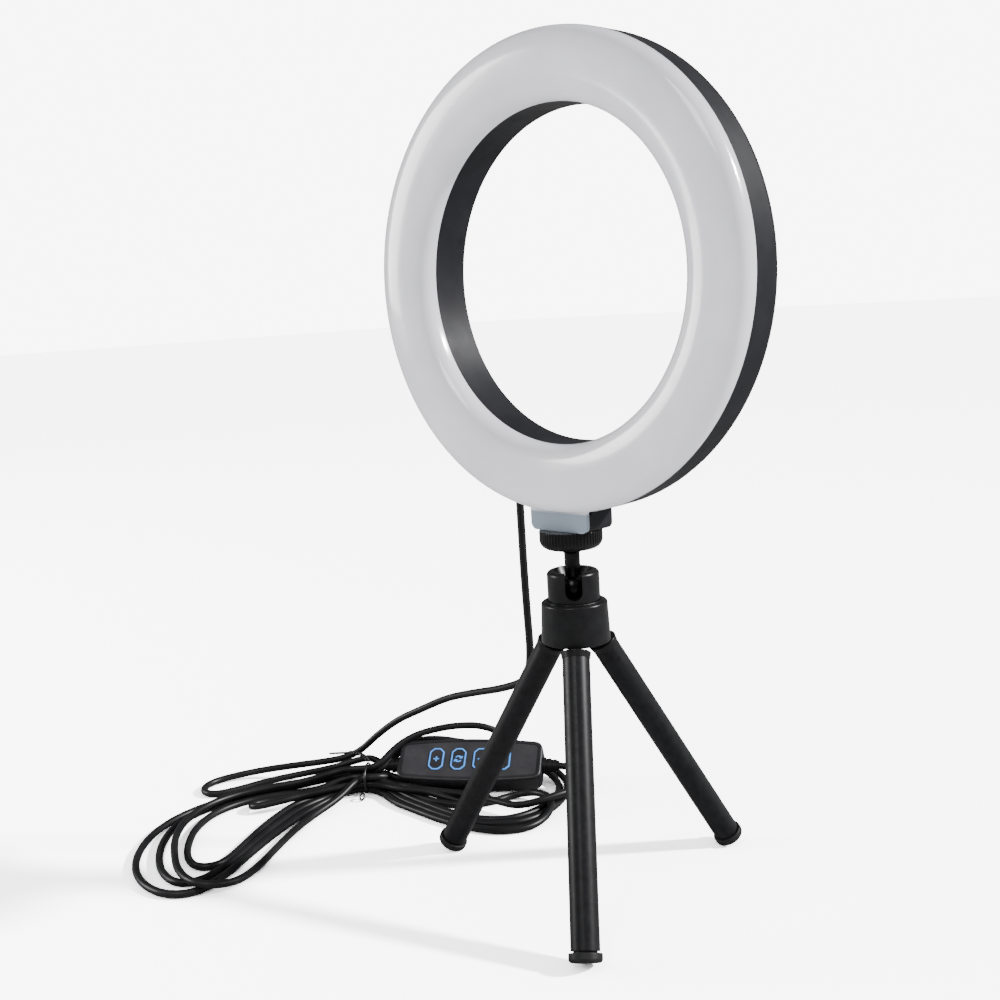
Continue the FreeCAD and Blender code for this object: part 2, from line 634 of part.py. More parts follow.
def key_places():
    return [KEY_PITCH * (i - (len(KEY_NAMES) - 1) / 2) for i in range(len(KEY_NAMES))]


OVERLAY_H = CASE_HEIGHT - 0.15
ROOF_H = OVERLAY_H - OVERLAY - 0.1 - CASE_WALL
BOARD_H = CASE_SPLIT - 1.2


def boot_holes():
    half = CASE_LENGTH / 2 + 1
    return [rod(BOOT_NECK_R + FIT_GAP / 2, V(s * half, 0, CASE_SPLIT), V(s * (half - 6), 0, CASE_SPLIT)) for s in (-1, 1)]


def controller_top():
    shell = soft_edges(case_prism(0, CASE_SPLIT + 0.08, CASE_HEIGHT), CASE_HEIGHT, CASE_EDGE_R)
    cuts = [case_prism(CASE_WALL, CASE_SPLIT - 1, ROOF_H)]
    cuts.append(case_prism(OVERLAY_MARGIN, OVERLAY_H - OVERLAY - 0.1, CASE_HEIGHT + 1))
    cuts += [key_prism(x, KEY_GAP, ROOF_H - 1, CASE_HEIGHT + 1) for x in key_places()]
    return shell.cut(Part.makeCompound(cuts[:2])).cut(Part.makeCompound(cuts[2:] + boot_holes()))


def controller_base():
    shell = soft_edges(case_prism(0, 0, CASE_SPLIT), 0, CASE_EDGE_R)
    shell = shell.cut(case_prism(CASE_WALL, CASE_WALL, CASE_SPLIT + 1))
    posts = [rod(2.2, V(x, 0, CASE_WALL - 0.1), V(x, 0, BOARD_H - FIT_GAP)) for x in screw_places()]
    shell = shell.multiFuse(posts)
    cuts = boot_holes()
    for x in screw_places():
        cuts.append(rod(0.9 + FIT_GAP, V(x, 0, -1), V(x, 0, CASE_SPLIT)))
        cuts.append(rod(1.6 + FIT_GAP, V(x, 0, -1), V(x, 0, 1.0)))
    return shell.cut(Part.makeCompound(cuts))


def screw_places():
    return [s * (CASE_LENGTH / 2 - 8.0) for s in (-1, 1)]


def controller_screws():
    screws = []
    for x in screw_places():
        head = rod(1.6, V(x, 0, 0.15), V(x, 0, 0.95))
        screws.append(head.fuse(rod(0.9, V(x, 0, 0.9), V(x, 0, BOARD_H - FIT_GAP))).removeSplitter())
    return Part.makeCompound(screws)


def controller_overlay():
    plate = case_prism(OVERLAY_MARGIN + 0.1, OVERLAY_H - OVERLAY, OVERLAY_H)
    return plate.cut(Part.makeCompound([key_prism(x, KEY_GAP, 0, CASE_HEIGHT + 1) for x in key_places()]))


def button_frames():
    """Raised blue outlines round the keys."""
    frames = []
    for x in key_places():
        rim = key_prism(x, KEY_GAP + FRAME_WIDTH, OVERLAY_H, OVERLAY_H + FRAME_HEIGHT)
        frames.append(rim.cut(key_prism(x, KEY_GAP, 0, CASE_HEIGHT + 1)))
    return Part.makeCompound(frames)


def key(x):
    """Push button: a cap through the case's roof and a flange that keeps it in."""
    cap = key_prism(x, 0, ROOF_H - 1.2, OVERLAY_H + KEY_PROUD)
    flange = key_prism(x, KEY_FLANGE, ROOF_H - 1.2, ROOF_H - 0.15)
    return cap.fuse(flange).removeSplitter()


def controller_board():
    half_l, half_w = BOARD_LENGTH / 2, BOARD_WIDTH / 2
    return block(V(-half_l, -half_w, BOARD_H), V(half_l, half_w, BOARD_H + 1.0))


def key_switches():
    low = BOARD_H + 1.0
    high = ROOF_H - 1.2 - KEY_TRAVEL - 0.1
    return Part.makeCompound([rod(SWITCH_R, V(x, 0, low), V(x, 0, high)) for x in key_places()])


def boot(side):
    """Ribbed strain relief at one end of the case."""
    start = CASE_LENGTH / 2
    neck = rod(BOOT_NECK_R, V(start - 2.6, 0, CASE_SPLIT), V(start + 1, 0, CASE_SPLIT))
    rib = BOOT_LENGTH / (2 * BOOT_RIBS)
    parts = [neck]
    for i in range(BOOT_RIBS):
        x = start + FIT_GAP + 2 * rib * i
        r = BOOT_R * (1 - 0.12 * i)
        parts.append(rod(r, V(x, 0, CASE_SPLIT), V(x + rib, 0, CASE_SPLIT)))
        parts.append(rod(r * 0.82, V(x + rib - 0.1, 0, CASE_SPLIT), V(x + 2 * rib, 0, CASE_SPLIT)))
    body = parts[0].multiFuse(parts[1:]).removeSplitter()
    if side < 0:
        body.rotate(ORIGIN, UP, 180)
    return body


def as_controller(shape):
    """A piece of the controller, modelled flat with its face up, leant forward and put on the table."""
    copy = shape.copy()
    copy.translate(V(0, CASE_WIDTH / 2, 0))
    copy.rotate(ORIGIN, V(1, 0, 0), CASE_TILT)
    edge_lift = CASE_EDGE_R * (1 - cos(radians(CASE_TILT)) - sin(radians(CASE_TILT)))
    back = CASE_WIDTH / 2 * cos(radians(CASE_TILT)) - CASE_HEIGHT / 2 * sin(radians(CASE_TILT))
    copy.translate(V(0, -back, max(edge_lift, 0.0) + 0.05))
    copy.rotate(ORIGIN, UP, CASE_HEADING)
    copy.translate(CASE_MIDDLE)
    return copy


# ---- plug

def plug_body():
    """Overmoulded grip of the plug, with its ribbed tail."""
    half_w, half_h = PLUG_WIDTH / 2, PLUG_HEIGHT / 2
    outline = [(-half_w, -half_h), (half_w, -half_h), (half_w, half_h), (-half_w, half_h)]
    face = Part.Face(rounded_wire(outline, PLUG_CORNER_R, lambda y, z: V(7.0, y, z)))
    grip = face.extrude(V(PLUG_LENGTH - 7.0, 0, 0))
    tail = Part.makeCone(2.2, 3.6, 7.2, ORIGIN, V(1, 0, 0))
    pocket = block(V(PLUG_LENGTH - 4, -SHELL_WIDTH / 2 - 0.05, -SHELL_HEIGHT / 2 - 0.05),
                   V(PLUG_LENGTH + 1, SHELL_WIDTH / 2 + 0.05, SHELL_HEIGHT / 2 + 0.05))
    return grip.fuse(tail).cut(pocket).removeSplitter()


def plug_shell():
    x0, x1 = PLUG_LENGTH - 4 + 0.05, PLUG_LENGTH + SHELL_LENGTH - 4
    w, h = SHELL_WIDTH / 2, SHELL_HEIGHT / 2
    shell = block(V(x0, -w, -h), V(x1, w, h))
    return shell.cut(block(V(x0 + 1, -w + SHELL_WALL, -h + SHELL_WALL), V(x1 + 1, w - SHELL_WALL, h - SHELL_WALL)))


def plug_tongue():
    x0, x1 = PLUG_LENGTH - 3 + 0.1, PLUG_LENGTH + SHELL_LENGTH - 4.6
    w, h = SHELL_WIDTH / 2 - SHELL_WALL - 0.1, SHELL_HEIGHT / 2 - SHELL_WALL - 0.05
    return block(V(x0, -w, h - TONGUE_THICK), V(x1, w, h))


def as_plug(shape):
    copy = shape.copy()
    copy.rotate(ORIGIN, UP, PLUG_HEADING)
    copy.translate(PLUG_TAIL)
    return copy


# ---- cord

def cord_tube(name, points):
    """Round cord along straight runs joined by tangent arcs, each as large as its two runs allow."""
    points = [V(*p) for p in points]
    edges = []
    at = points[0]
    report = []
    for i in range(1, len(points) - 1):
        before, here, after = points[i - 1], points[i], points[i + 1]
        back, ahead = before - here, after - here
        shorter = min(back.Length, ahead.Length)
        back.normalize()
        ahead.normalize()
        reach = 0.45 * shorter
        half = acos(max(-1.0, min(1.0, back.dot(ahead)))) / 2
        radius = reach * tan(half)
        report.append(round(radius, 1))
        centre = here + (back + ahead).normalize() * (radius / sin(half))
        start, end = here + back * reach, here + ahead * reach
        middle = centre + (here - centre).normalize() * radius
        edges.append(Part.LineSegment(at, start).toShape())
        edges.append(Part.Arc(start, middle, end).toShape())
        at = end
    edges.append(Part.LineSegment(at, points[-1]).toShape())
    path = Part.Wire(edges)
    ring = Part.Wire([Part.Circle(points[0], points[1] - points[0], CORD_D / 2).toShape()])
    tube = path.makePipeShell([ring], True, False)
    true_volume = pi * CORD_D ** 2 / 4 * path.Length
    print(f"{name}: length {path.Length:.1f}, arc radii {report}, volume {tube.Volume / true_volume:.3f} of the true one")
    return tube


def across_tie(shape):
    """A shape modelled along X about the tie's middle, put in its place."""
    shape.rotate(ORIGIN, UP, TIE_HEADING)
    shape.translate(TIE_MIDDLE)
    return shape


def oval_wire(half_width, half_height, x):
    """Oval standing across X, wider than it is high or the reverse."""
    long_first = half_width >= half_height
    far, near = V(x, half_width, 0), V(x, 0, half_height)
    oval = Part.Ellipse(far, near, V(x, 0, 0)) if long_first else Part.Ellipse(near, far, V(x, 0, 0))
    return Part.Wire([oval.toShape()])


def twist_tie():
    """Wire tie: an oval loop of round wire across the cords."""
    path = oval_wire(TIE_HALF_WIDTH, TIE_HALF_HEIGHT, 0)
    start = V(0, TIE_HALF_WIDTH, 0)
    section = Part.Wire([Part.Circle(start, UP, TIE_WIRE_R).toShape()])
    return across_tie(path.makePipeShell([section], True, True))


def cord_hank():
    """Outer shape of the tied hank: a slab over its loops and an oval waist through the tie."""
    slab = prism(HANK_OUTLINE, 3.0, 0, HANK_HEIGHT)
    shrink = TIE_WIRE_R + WAIST_GAP
    waist = Part.Face(oval_wire(TIE_HALF_WIDTH - shrink, TIE_HALF_HEIGHT - shrink, -WAIST_BEFORE))
    waist = across_tie(waist.extrude(V(WAIST_BEFORE + WAIST_AFTER, 0, 0)))
    return slab.fuse(waist).removeSplitter()


def cord_loops():
    """Outer shape of the hank's loose loops in front of the controller."""
    return prism(LOOPS_OUTLINE, 3.0, 0, LOOPS_HEIGHT)


# ---- the whole light

def build():
    lamp = {
        "diffuser": diffuser(),
        "rear_housing": rear_housing(),
        "led_board": led_board(),
        "cool_leds": led_row(CHIP_ROW_OFFSET, 0.0),
        "warm_leds": led_row(-CHIP_ROW_OFFSET, 180.0 / CHIPS_PER_ROW),
        "housing_screws": housing_screws(),
        "tripod_insert": tripod_insert(),
        "lead_gland": lead_gland(),
        "ball_stud": ball_stud(),
        "knurled_knob": knurled_knob(),
        "ball_socket": ball_socket(),
        "ball_pad": ball_pad(),
        "leg_hub": leg_hub(),
        "leg_pins": Part.makeCompound(pin_rods(PIN_R)),
    }
    for name, angle in zip(LEG_NAMES, leg_angles()):
        lamp[f"leg_top_{name}"] = as_leg(leg_top(), angle)
        lamp[f"leg_tube_{name}"] = as_leg(leg_tube(), angle)
        lamp[f"leg_rivet_{name}"] = as_leg(leg_rivet(), angle)
        lamp[f"foot_{name}"] = as_leg(foot(), angle)
    on_cord = {
        "controller_top": as_controller(controller_top()),
        "controller_base": as_controller(controller_base()),
        "controller_overlay": as_controller(controller_overlay()),
        "button_frames": as_controller(button_frames()),
        "controller_board": as_controller(controller_board()),
        "key_switches": as_controller(key_switches()),
        "controller_screws": as_controller(controller_screws()),
        "boot_in": as_controller(boot(-1)),
        "boot_out": as_controller(boot(1)),
        "plug_body": as_plug(plug_body()),
        "plug_shell": as_plug(plug_shell()),
        "plug_tongue": as_plug(plug_tongue()),
        "twist_tie": twist_tie(),
        "cord_hank": cord_hank(),
        "cord_loops": cord_loops(),
        "ring_lead": cord_tube("ring_lead", RING_LEAD),
        "controller_lead_in": cord_tube("controller_lead_in", CONTROLLER_LEAD_IN),
        "controller_lead_out": cord_tube("controller_lead_out", CONTROLLER_LEAD_OUT),
        "plug_lead": cord_tube("plug_lead", PLUG_LEAD),
    }
    for name, x in zip(KEY_NAMES, key_places()):
        on_cord[name] = as_controller(key(x))
    return lamp, on_cord


def main():
    os.makedirs("parts", exist_ok=True)
    lamp, on_cord = build()
    box = Part.makeCompound(list(lamp.values())).optimalBoundingBox(False, False)
    shift = V(0, -box.Center.y, -box.ZMin)
    print(box)
    print(f"axis at {shift.x:.4f}, {shift.y:.4f}, {shift.z:.4f}; pivots {PIVOT_H:.3f}; ball {BALL_H:.3f}; ring {RING_H:.3f}")
    for name, shape in {**lamp, **on_cord}.items():
        shape.translate(shift)
        shape.exportStep(f"parts/{name}.step")


main()
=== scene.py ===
"""Desk ring light on a folding pocket tripod: cords, wire tie, printed signs, finishes, studio and camera."""
import logging
from dataclasses import dataclass, field
from enum import Enum
from typing import Sequence

import bpy
import numpy as np
from mathutils import Matrix, Vector


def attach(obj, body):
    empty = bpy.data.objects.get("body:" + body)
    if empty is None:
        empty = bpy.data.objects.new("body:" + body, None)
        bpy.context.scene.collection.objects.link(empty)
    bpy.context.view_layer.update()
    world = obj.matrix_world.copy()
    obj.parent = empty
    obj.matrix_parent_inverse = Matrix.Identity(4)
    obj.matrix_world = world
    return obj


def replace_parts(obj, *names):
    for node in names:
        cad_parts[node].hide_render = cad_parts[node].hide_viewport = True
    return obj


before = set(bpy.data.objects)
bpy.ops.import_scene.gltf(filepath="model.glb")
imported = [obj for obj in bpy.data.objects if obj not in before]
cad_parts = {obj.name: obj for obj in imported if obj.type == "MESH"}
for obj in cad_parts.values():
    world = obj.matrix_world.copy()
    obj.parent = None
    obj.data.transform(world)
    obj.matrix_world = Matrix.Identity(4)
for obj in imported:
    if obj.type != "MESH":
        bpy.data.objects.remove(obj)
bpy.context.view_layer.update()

LOG = logging.getLogger("ring_light")
MM = 0.001
AXIS_SHIFT = -4.5682        # mm: where the tripod's axis stands along Y

END_SHRINK = 0.02           # share of its radius to which a wire's end ring shrinks

Colour = tuple[float, float, float]
Point = tuple[float, float, float]
Span = tuple[float, float]
Trio = tuple[Point, Point, Point]
Grid = tuple[np.ndarray, np.ndarray]
Socket = bpy.types.NodeSocket

FULL: Span = (0, 1)
WIDE: Span = (0.25, 0.75)   # part of a noise's values that is used: the narrower, the sharper its blotches
EVEN: Span = (0.3, 0.7)
NARROW: Span = (0.35, 0.65)


class Carrier(Enum):
    """Bodies that new pieces ride on."""
    HEAD = "light_head"
    BRIGHTER = "brighter_button"
    MODE = "mode_button"
    DIMMER = "dimmer_button"
    POWER = "power_button"


class Icon(Enum):
    """Generic signs printed on the keys."""
    PLUS = "plus"
    CYCLE = "cycle"
    MINUS = "minus"
    POWER = "power"


class MixKind(Enum):
    """Kinds of Mix node: the data type, where its first value stands, and where its result stands."""
    NUMBER = ("FLOAT", 2, 0)
    COLOUR = ("RGBA", 6, 2)


def row_place(point: Point) -> Point:
    """Point given in mm from the tripod's axis, in metres of the row frame."""
    x, y, z = point
    return x * MM, (y + AXIS_SHIFT) * MM, z * MM


# ---- surfaces worked out as whole arrays

def put_mesh(name: str, points: np.ndarray, quads: np.ndarray, smooth: bool = True) -> bpy.types.Object:
    """Makes a mesh object at the origin from points and four-cornered faces.

    Args:
        name: the piece's name.
        points: N by 3 places in metres, in the row frame.
        quads: M by 4 indices into the points, outward by the right-hand rule.
        smooth: whether the faces are shaded smoothly.

    Returns:
        The new object, linked to the scene.
    """
    mesh = bpy.data.meshes.new(name)
    mesh.from_pydata(points.tolist(), [], quads.tolist())
    mesh.polygons.foreach_set("use_smooth", np.full(len(quads), smooth))
    mesh.update()
    piece = bpy.data.objects.new(name, mesh)
    bpy.context.scene.collection.objects.link(piece)
    return piece


def unit(rows: np.ndarray) -> np.ndarray:
    """Rows scaled to length one."""
    return rows / np.linalg.norm(rows, axis=-1, keepdims=True)


def tube_grid(line: np.ndarray, radius: np.ndarray, side: np.ndarray, sides: int, ring: bool) -> Grid:
    """Round wire carried along a line.

    The point at (i, a) is line[i] + radius[i] * (cos a * u[i] + sin a * v[i]), where u is the part of the
    side direction square to the line, and v is square to both. An open wire's ends are closed by shrinking
    its last rings onto the line.

    Args:
        line: N by 3 centreline in metres.
        radius: N radii in metres.
        side: a direction that is nowhere along the line.
        sides: how many points go round.
        ring: whether the line joins its own start.

    Returns:
        The points and the quads.
    """
    if ring:
        ahead = unit(np.roll(line, -1, axis=0) - np.roll(line, 1, axis=0))
    else:
        ahead = unit(np.gradient(line, axis=0))
        line = np.concatenate([line[:1], line, line[-1:]])
        ahead = np.concatenate([ahead[:1], ahead, ahead[-1:]])
        radius = np.concatenate([radius[:1] * END_SHRINK, radius, radius[-1:] * END_SHRINK])
    u = unit(side - ahead * (ahead @ side)[:, None])
    v = np.cross(ahead, u)
    a = np.linspace(0, 2 * np.pi, sides, endpoint=False)
    rim = np.cos(a)[None, :, None] * u[:, None] + np.sin(a)[None, :, None] * v[:, None]
    points = (line[:, None] + radius[:, None, None] * rim).reshape(-1, 3)
    count = len(line)
    i = np.arange(count if ring else count - 1)[:, None]
    j = np.arange(sides)[None, :]
    here, there = i * sides, ((i + 1) % count) * sides
    right = (j + 1) % sides
    quads = np.stack([here + j, here + right, there + right, there + j], axis=-1).reshape(-1, 4)
    return points, quads


def joined(parts: Sequence[Grid]) -> Grid:
    """Several grids as one, each one's indices moved past the points before it."""
    starts = np.cumsum([0] + [len(p) for p, _ in parts[:-1]])
    return np.concatenate([p for p, _ in parts]), np.concatenate([q + s for (_, q), s in zip(parts, starts)])


def stroke_grid(line: np.ndarray, width: float, low: float, high: float) -> Grid:
    """Flat printed stroke: a rectangle of a given width, between two levels, carried along a plane line.

    Its edges stand half a width to each side of the line, along the line's own normal in the plane.

    Args:
        line: N by 2 plane points in mm.
        width: the stroke's width in mm.
        low: level of its underside in mm.
        high: level of its face in mm.

    Returns:
        Points (local, mm) and quads.
    """
    ahead = unit(np.gradient(line, axis=0))
    out = np.stack([-ahead[:, 1], ahead[:, 0]], axis=1) * width / 2
    left, right = line + out, line - out
    tall = np.ones((len(line), 1))
    rows = np.stack([np.hstack([left, tall * high]), np.hstack([left, tall * low]),
                     np.hstack([right, tall * low]), np.hstack([right, tall * high])], axis=1)
    i = np.arange(len(line) - 1)[:, None] * 4
    j = np.arange(4)[None, :]
    sides = np.stack([i + j, i + (j + 1) % 4, i + 4 + (j + 1) % 4, i + 4 + j], axis=-1).reshape(-1, 4)
    last = (len(line) - 1) * 4
    caps = np.array([[3, 2, 1, 0], [last, last + 1, last + 2, last + 3]])
    return rows.reshape(-1, 3), np.concatenate([sides, caps])


# ---- finishes

class Bench:
    """Node tree with one way to add a node, and short calls for the nodes that are used."""

    def __init__(self, tree: bpy.types.NodeTree) -> None:
        """Works on a given tree."""
        self.tree = tree

    def feed(self, socket: Socket, value: Socket | float | tuple[float, ...]) -> None:
        """Links a socket to another, or sets its value."""
        if isinstance(value, bpy.types.NodeSocket):
            self.tree.links.new(value, socket)
        else:
            socket.default_value = value

    def node(self, kind: str, settings: dict[str, str], sockets: dict[str | int, object]) -> bpy.types.Node:
        """Adds one node, its settings first.

        Args:
            kind: the node's type.
            settings: the node's own options, by name.
            sockets: the value or the link of each input, by its name or number.

        Returns:
            The new node.
        """
        node = self.tree.nodes.new(kind)
        for name, value in settings.items():
            setattr(node, name, value)
        for name, value in sockets.items():
            self.feed(node.inputs[name], value)
        return node

    def mixed(self, kind: MixKind, factor: Socket, first: object, second: object) -> Socket:
        """Value between two values by a factor.

        Args:
            kind: whether numbers or colours are mixed.
            factor: 0 for the first, 1 for the second.
            first: a value or a link.
            second: a value or a link.

        Returns:
            The result.
        """
        data_type, start, result = kind.value
        sockets = {0: factor, start: first, start + 1: second}
        return self.node("ShaderNodeMix", {"data_type": data_type}, sockets).outputs[result]

    def by_ray(self, kind: MixKind, usual: object, in_gloss: object, seen: object) -> Socket:
        """Value that differs in reflections and to the camera.

        Args:
            kind: whether the values are numbers or colours.
            usual: what lights the scene.
            in_gloss: what reflections show.
            seen: what the camera shows.

        Returns:
            The result.
        """
        path = self.node("ShaderNodeLightPath", {}, {})
        for ray, value in (("Is Glossy Ray", in_gloss), ("Is Camera Ray", seen)):
            usual = self.mixed(kind, path.outputs[ray], usual, value)
        return usual


def opaque(colour: Colour | Socket) -> Socket | tuple[float, ...]:
    """Colour with an alpha of one; a link stays as it is."""
    return colour if isinstance(colour, bpy.types.NodeSocket) else (*colour, 1)


class Coat(Bench):
    """Tree of one material: a principled shader, and the place on the object that patterns read."""

    def __init__(self, name: str) -> None:
        """Starts the material.

        Args:
            name: the material's name.
        """
        self.material = bpy.data.materials.new(name)
        self.material.use_nodes = True
        super().__init__(self.material.node_tree)
        self.tree.nodes.clear()
        self.shader = self.node("ShaderNodeBsdfPrincipled", {}, {})
        self.node("ShaderNodeOutputMaterial", {}, {0: self.shader.outputs[0]})
        self.place = self.node("ShaderNodeTexCoord", {}, {}).outputs["Object"]

    def set(self, **values: float | Socket) -> None:
        """Feeds the shader's own sockets, named with underscores for spaces."""
        for name, value in values.items():
            self.feed(self.shader.inputs[name.replace("_", " ")], value)

    def noise(self, size: float, detail: float, stretch: Point | None = None) -> Socket:
        """Noise on the object's place.

        Args:
            size: how large its blotches are, in metres.
            detail: how many finer layers it has.
            stretch: how much denser it is along each axis, or none.

        Returns:
            The noise, 0 to 1.
        """
        place = self.place
        if stretch:
            place = self.node("ShaderNodeMapping", {}, {"Scale": stretch, "Vector": place}).outputs[0]
        sockets = {"Scale": 1 / size, "Detail": detail, "Vector": place}
        return self.node("ShaderNodeTexNoise", {}, sockets).outputs["Fac"]

    def cells(self, size: float) -> Socket:
        """Distance field of small cells, for spark-eroded grain."""
        sockets = {"Scale": 1 / size, "Vector": self.place}
        return self.node("ShaderNodeTexVoronoi", {}, sockets).outputs["Distance"]

    def mapped(self, source: Socket, span: Span, result: Span) -> Socket:
        """Value carried from one span to another, held at its ends."""
        sockets = {"Value": source, "From Min": span[0], "From Max": span[1],
                   "To Min": result[0], "To Max": result[1]}
        return self.node("ShaderNodeMapRange", {}, sockets).outputs[0]

    def blended(self, factor: Socket, first: Colour, second: Colour | Socket) -> Socket:
        """Colour between two colours by a factor."""
        return self.mixed(MixKind.COLOUR, factor, opaque(first), opaque(second))

    def height(self, low: float, high: float) -> Socket:
        """0 below a low level, 1 above a high one, in metres of the row frame."""
        upright = self.node("ShaderNodeSeparateXYZ", {}, {0: self.place}).outputs[2]
        return self.mapped(upright, (low, high), FULL)

    def relief(self, source: Socket, depth: float, strength: float, under: Socket | None = None) -> Socket:
        """Bump, over another one if there is one.

        Args:
            source: its height, 0 to 1.
            depth: how deep it is, in metres.
            strength: how much of it shows.
            under: the bump below it, or none.

        Returns:
            The normal.
        """
        sockets = {"Distance": depth, "Strength": strength, "Height": source}
        if under:
            sockets["Normal"] = under
        return self.node("ShaderNodeBump", {}, sockets).outputs[0]


@dataclass(frozen=True)
class Moulding:
    """Moulded, coated or sleeved surface: mottled colour, uneven gloss, and fine grain over faint waves."""
    name: str
    dark: Colour
    light: Colour
    gloss: Span
    mottle: float = 0.006
    gloss_share: float = 0.6
    grain: float = 0.0004
    relief: float = 0.00002
    strength: float = 0.6
    wave: float = 0.0
    wave_size: float = 0.012
    wave_depth: float = 0.0002
    specular: float = 0.5

    def make(self) -> bpy.types.Material:
        """Builds the material: large blotches set colour and gloss, small ones the relief.

        Returns:
            The material.
        """
        coat = Coat(self.name)
        blotch = coat.mapped(coat.noise(self.mottle, 4), EVEN, FULL)
        gloss = coat.mapped(coat.noise(self.mottle * self.gloss_share, 5), WIDE, self.gloss)
        under = coat.relief(coat.noise(self.wave_size, 1), self.wave_depth, self.wave) if self.wave else None
        grain = coat.relief(coat.noise(self.grain, 2), self.relief, self.strength, under)
        coat.set(Base_Color=coat.blended(blotch, self.dark, self.light), Roughness=gloss, Normal=grain,
                 Specular_IOR_Level=self.specular)
        return coat.material


@dataclass(frozen=True)
class MilkyFront:
    """Glossy milky cover, darker and bluer on the tab below the ring, where no hollow lies behind it."""
    name: str = "milky_cover"
    ring: Colour = (0.45, 0.45, 0.475)
    ring_shade: Colour = (0.40, 0.40, 0.43)
    tab: Colour = (0.115, 0.14, 0.17)
    tab_top: float = 0.1372
    tab_edge: float = 0.0006
    mottle: float = 0.03
    gloss: Span = (0.14, 0.22)
    gloss_size: float = 0.012
    grain: float = 0.0007
    relief: float = 0.00001
    strength: float = 0.25
    varnish: float = 0.35
    varnish_roughness: float = 0.06

    def make(self) -> bpy.types.Material:
        """Blends the ring's mottled white into the tab's tone by height.

        Returns:
            The material.
        """
        coat = Coat(self.name)
        blotch = coat.mapped(coat.noise(self.mottle, 3), NARROW, FULL)
        white = coat.blended(blotch, self.ring_shade, self.ring)
        above = coat.height(self.tab_top - self.tab_edge, self.tab_top + self.tab_edge)
        gloss = coat.mapped(coat.noise(self.gloss_size, 4), EVEN, self.gloss)
        grain = coat.relief(coat.noise(self.grain, 2), self.relief, self.strength)
        coat.set(Base_Color=coat.blended(above, self.tab, white), Roughness=gloss, Normal=grain,
                 Coat_Weight=self.varnish, Coat_Roughness=self.varnish_roughness)
        return coat.material


@dataclass(frozen=True)
class TurnedMetal:
    """Machined metal with fine turning lines round the upright axis and faint stains."""
    name: str
    dark: Colour
    light: Colour
    gloss: Span = (0.18, 0.34)
    line: float = 0.0016
    squeeze: Point = (0.4, 0.4, 8.0)
    stain: float = 0.004
    relief: float = 0.00001
    strength: float = 0.4

    def make(self) -> bpy.types.Material:
        """Noise squeezed along the axis gives level lines; broad noise gives the stains.

        Returns:
            The material.
        """
        coat = Coat(self.name)
        lines = coat.noise(self.line, 3, self.squeeze)
        stain = coat.mapped(coat.noise(self.stain, 4), EVEN, FULL)
        coat.set(Base_Color=coat.blended(stain, self.dark, self.light),
                 Roughness=coat.mapped(lines, EVEN, self.gloss),
                 Normal=coat.relief(lines, self.relief, self.strength), Metallic=1.0)
        return coat.material


@dataclass(frozen=True)
class ErodedCase:
    """Spark-eroded moulding: small pits on a dark shell, with handling marks."""
    name: str
    dark: Colour
    light: Colour
    gloss: Span
    pit: float = 0.00045
    depth: float = 0.00004
    strength: float = 0.5
    marks: float = 0.009
    gloss_size: float = 0.004
    specular: float = 0.3

    def make(self) -> bpy.types.Material:
        """Cell distance gives the pits, and broad noise the handling marks.

        Returns:
            The material.
        """
        coat = Coat(self.name)
        marks = coat.mapped(coat.noise(self.marks, 5), NARROW, FULL)
        gloss = coat.mapped(coat.noise(self.gloss_size, 5), EVEN, self.gloss)
        coat.set(Base_Color=coat.blended(marks, self.dark, self.light), Roughness=gloss,
                 Normal=coat.relief(coat.cells(self.pit), self.depth, self.strength),
                 Specular_IOR_Level=self.specular)
        return coat.material


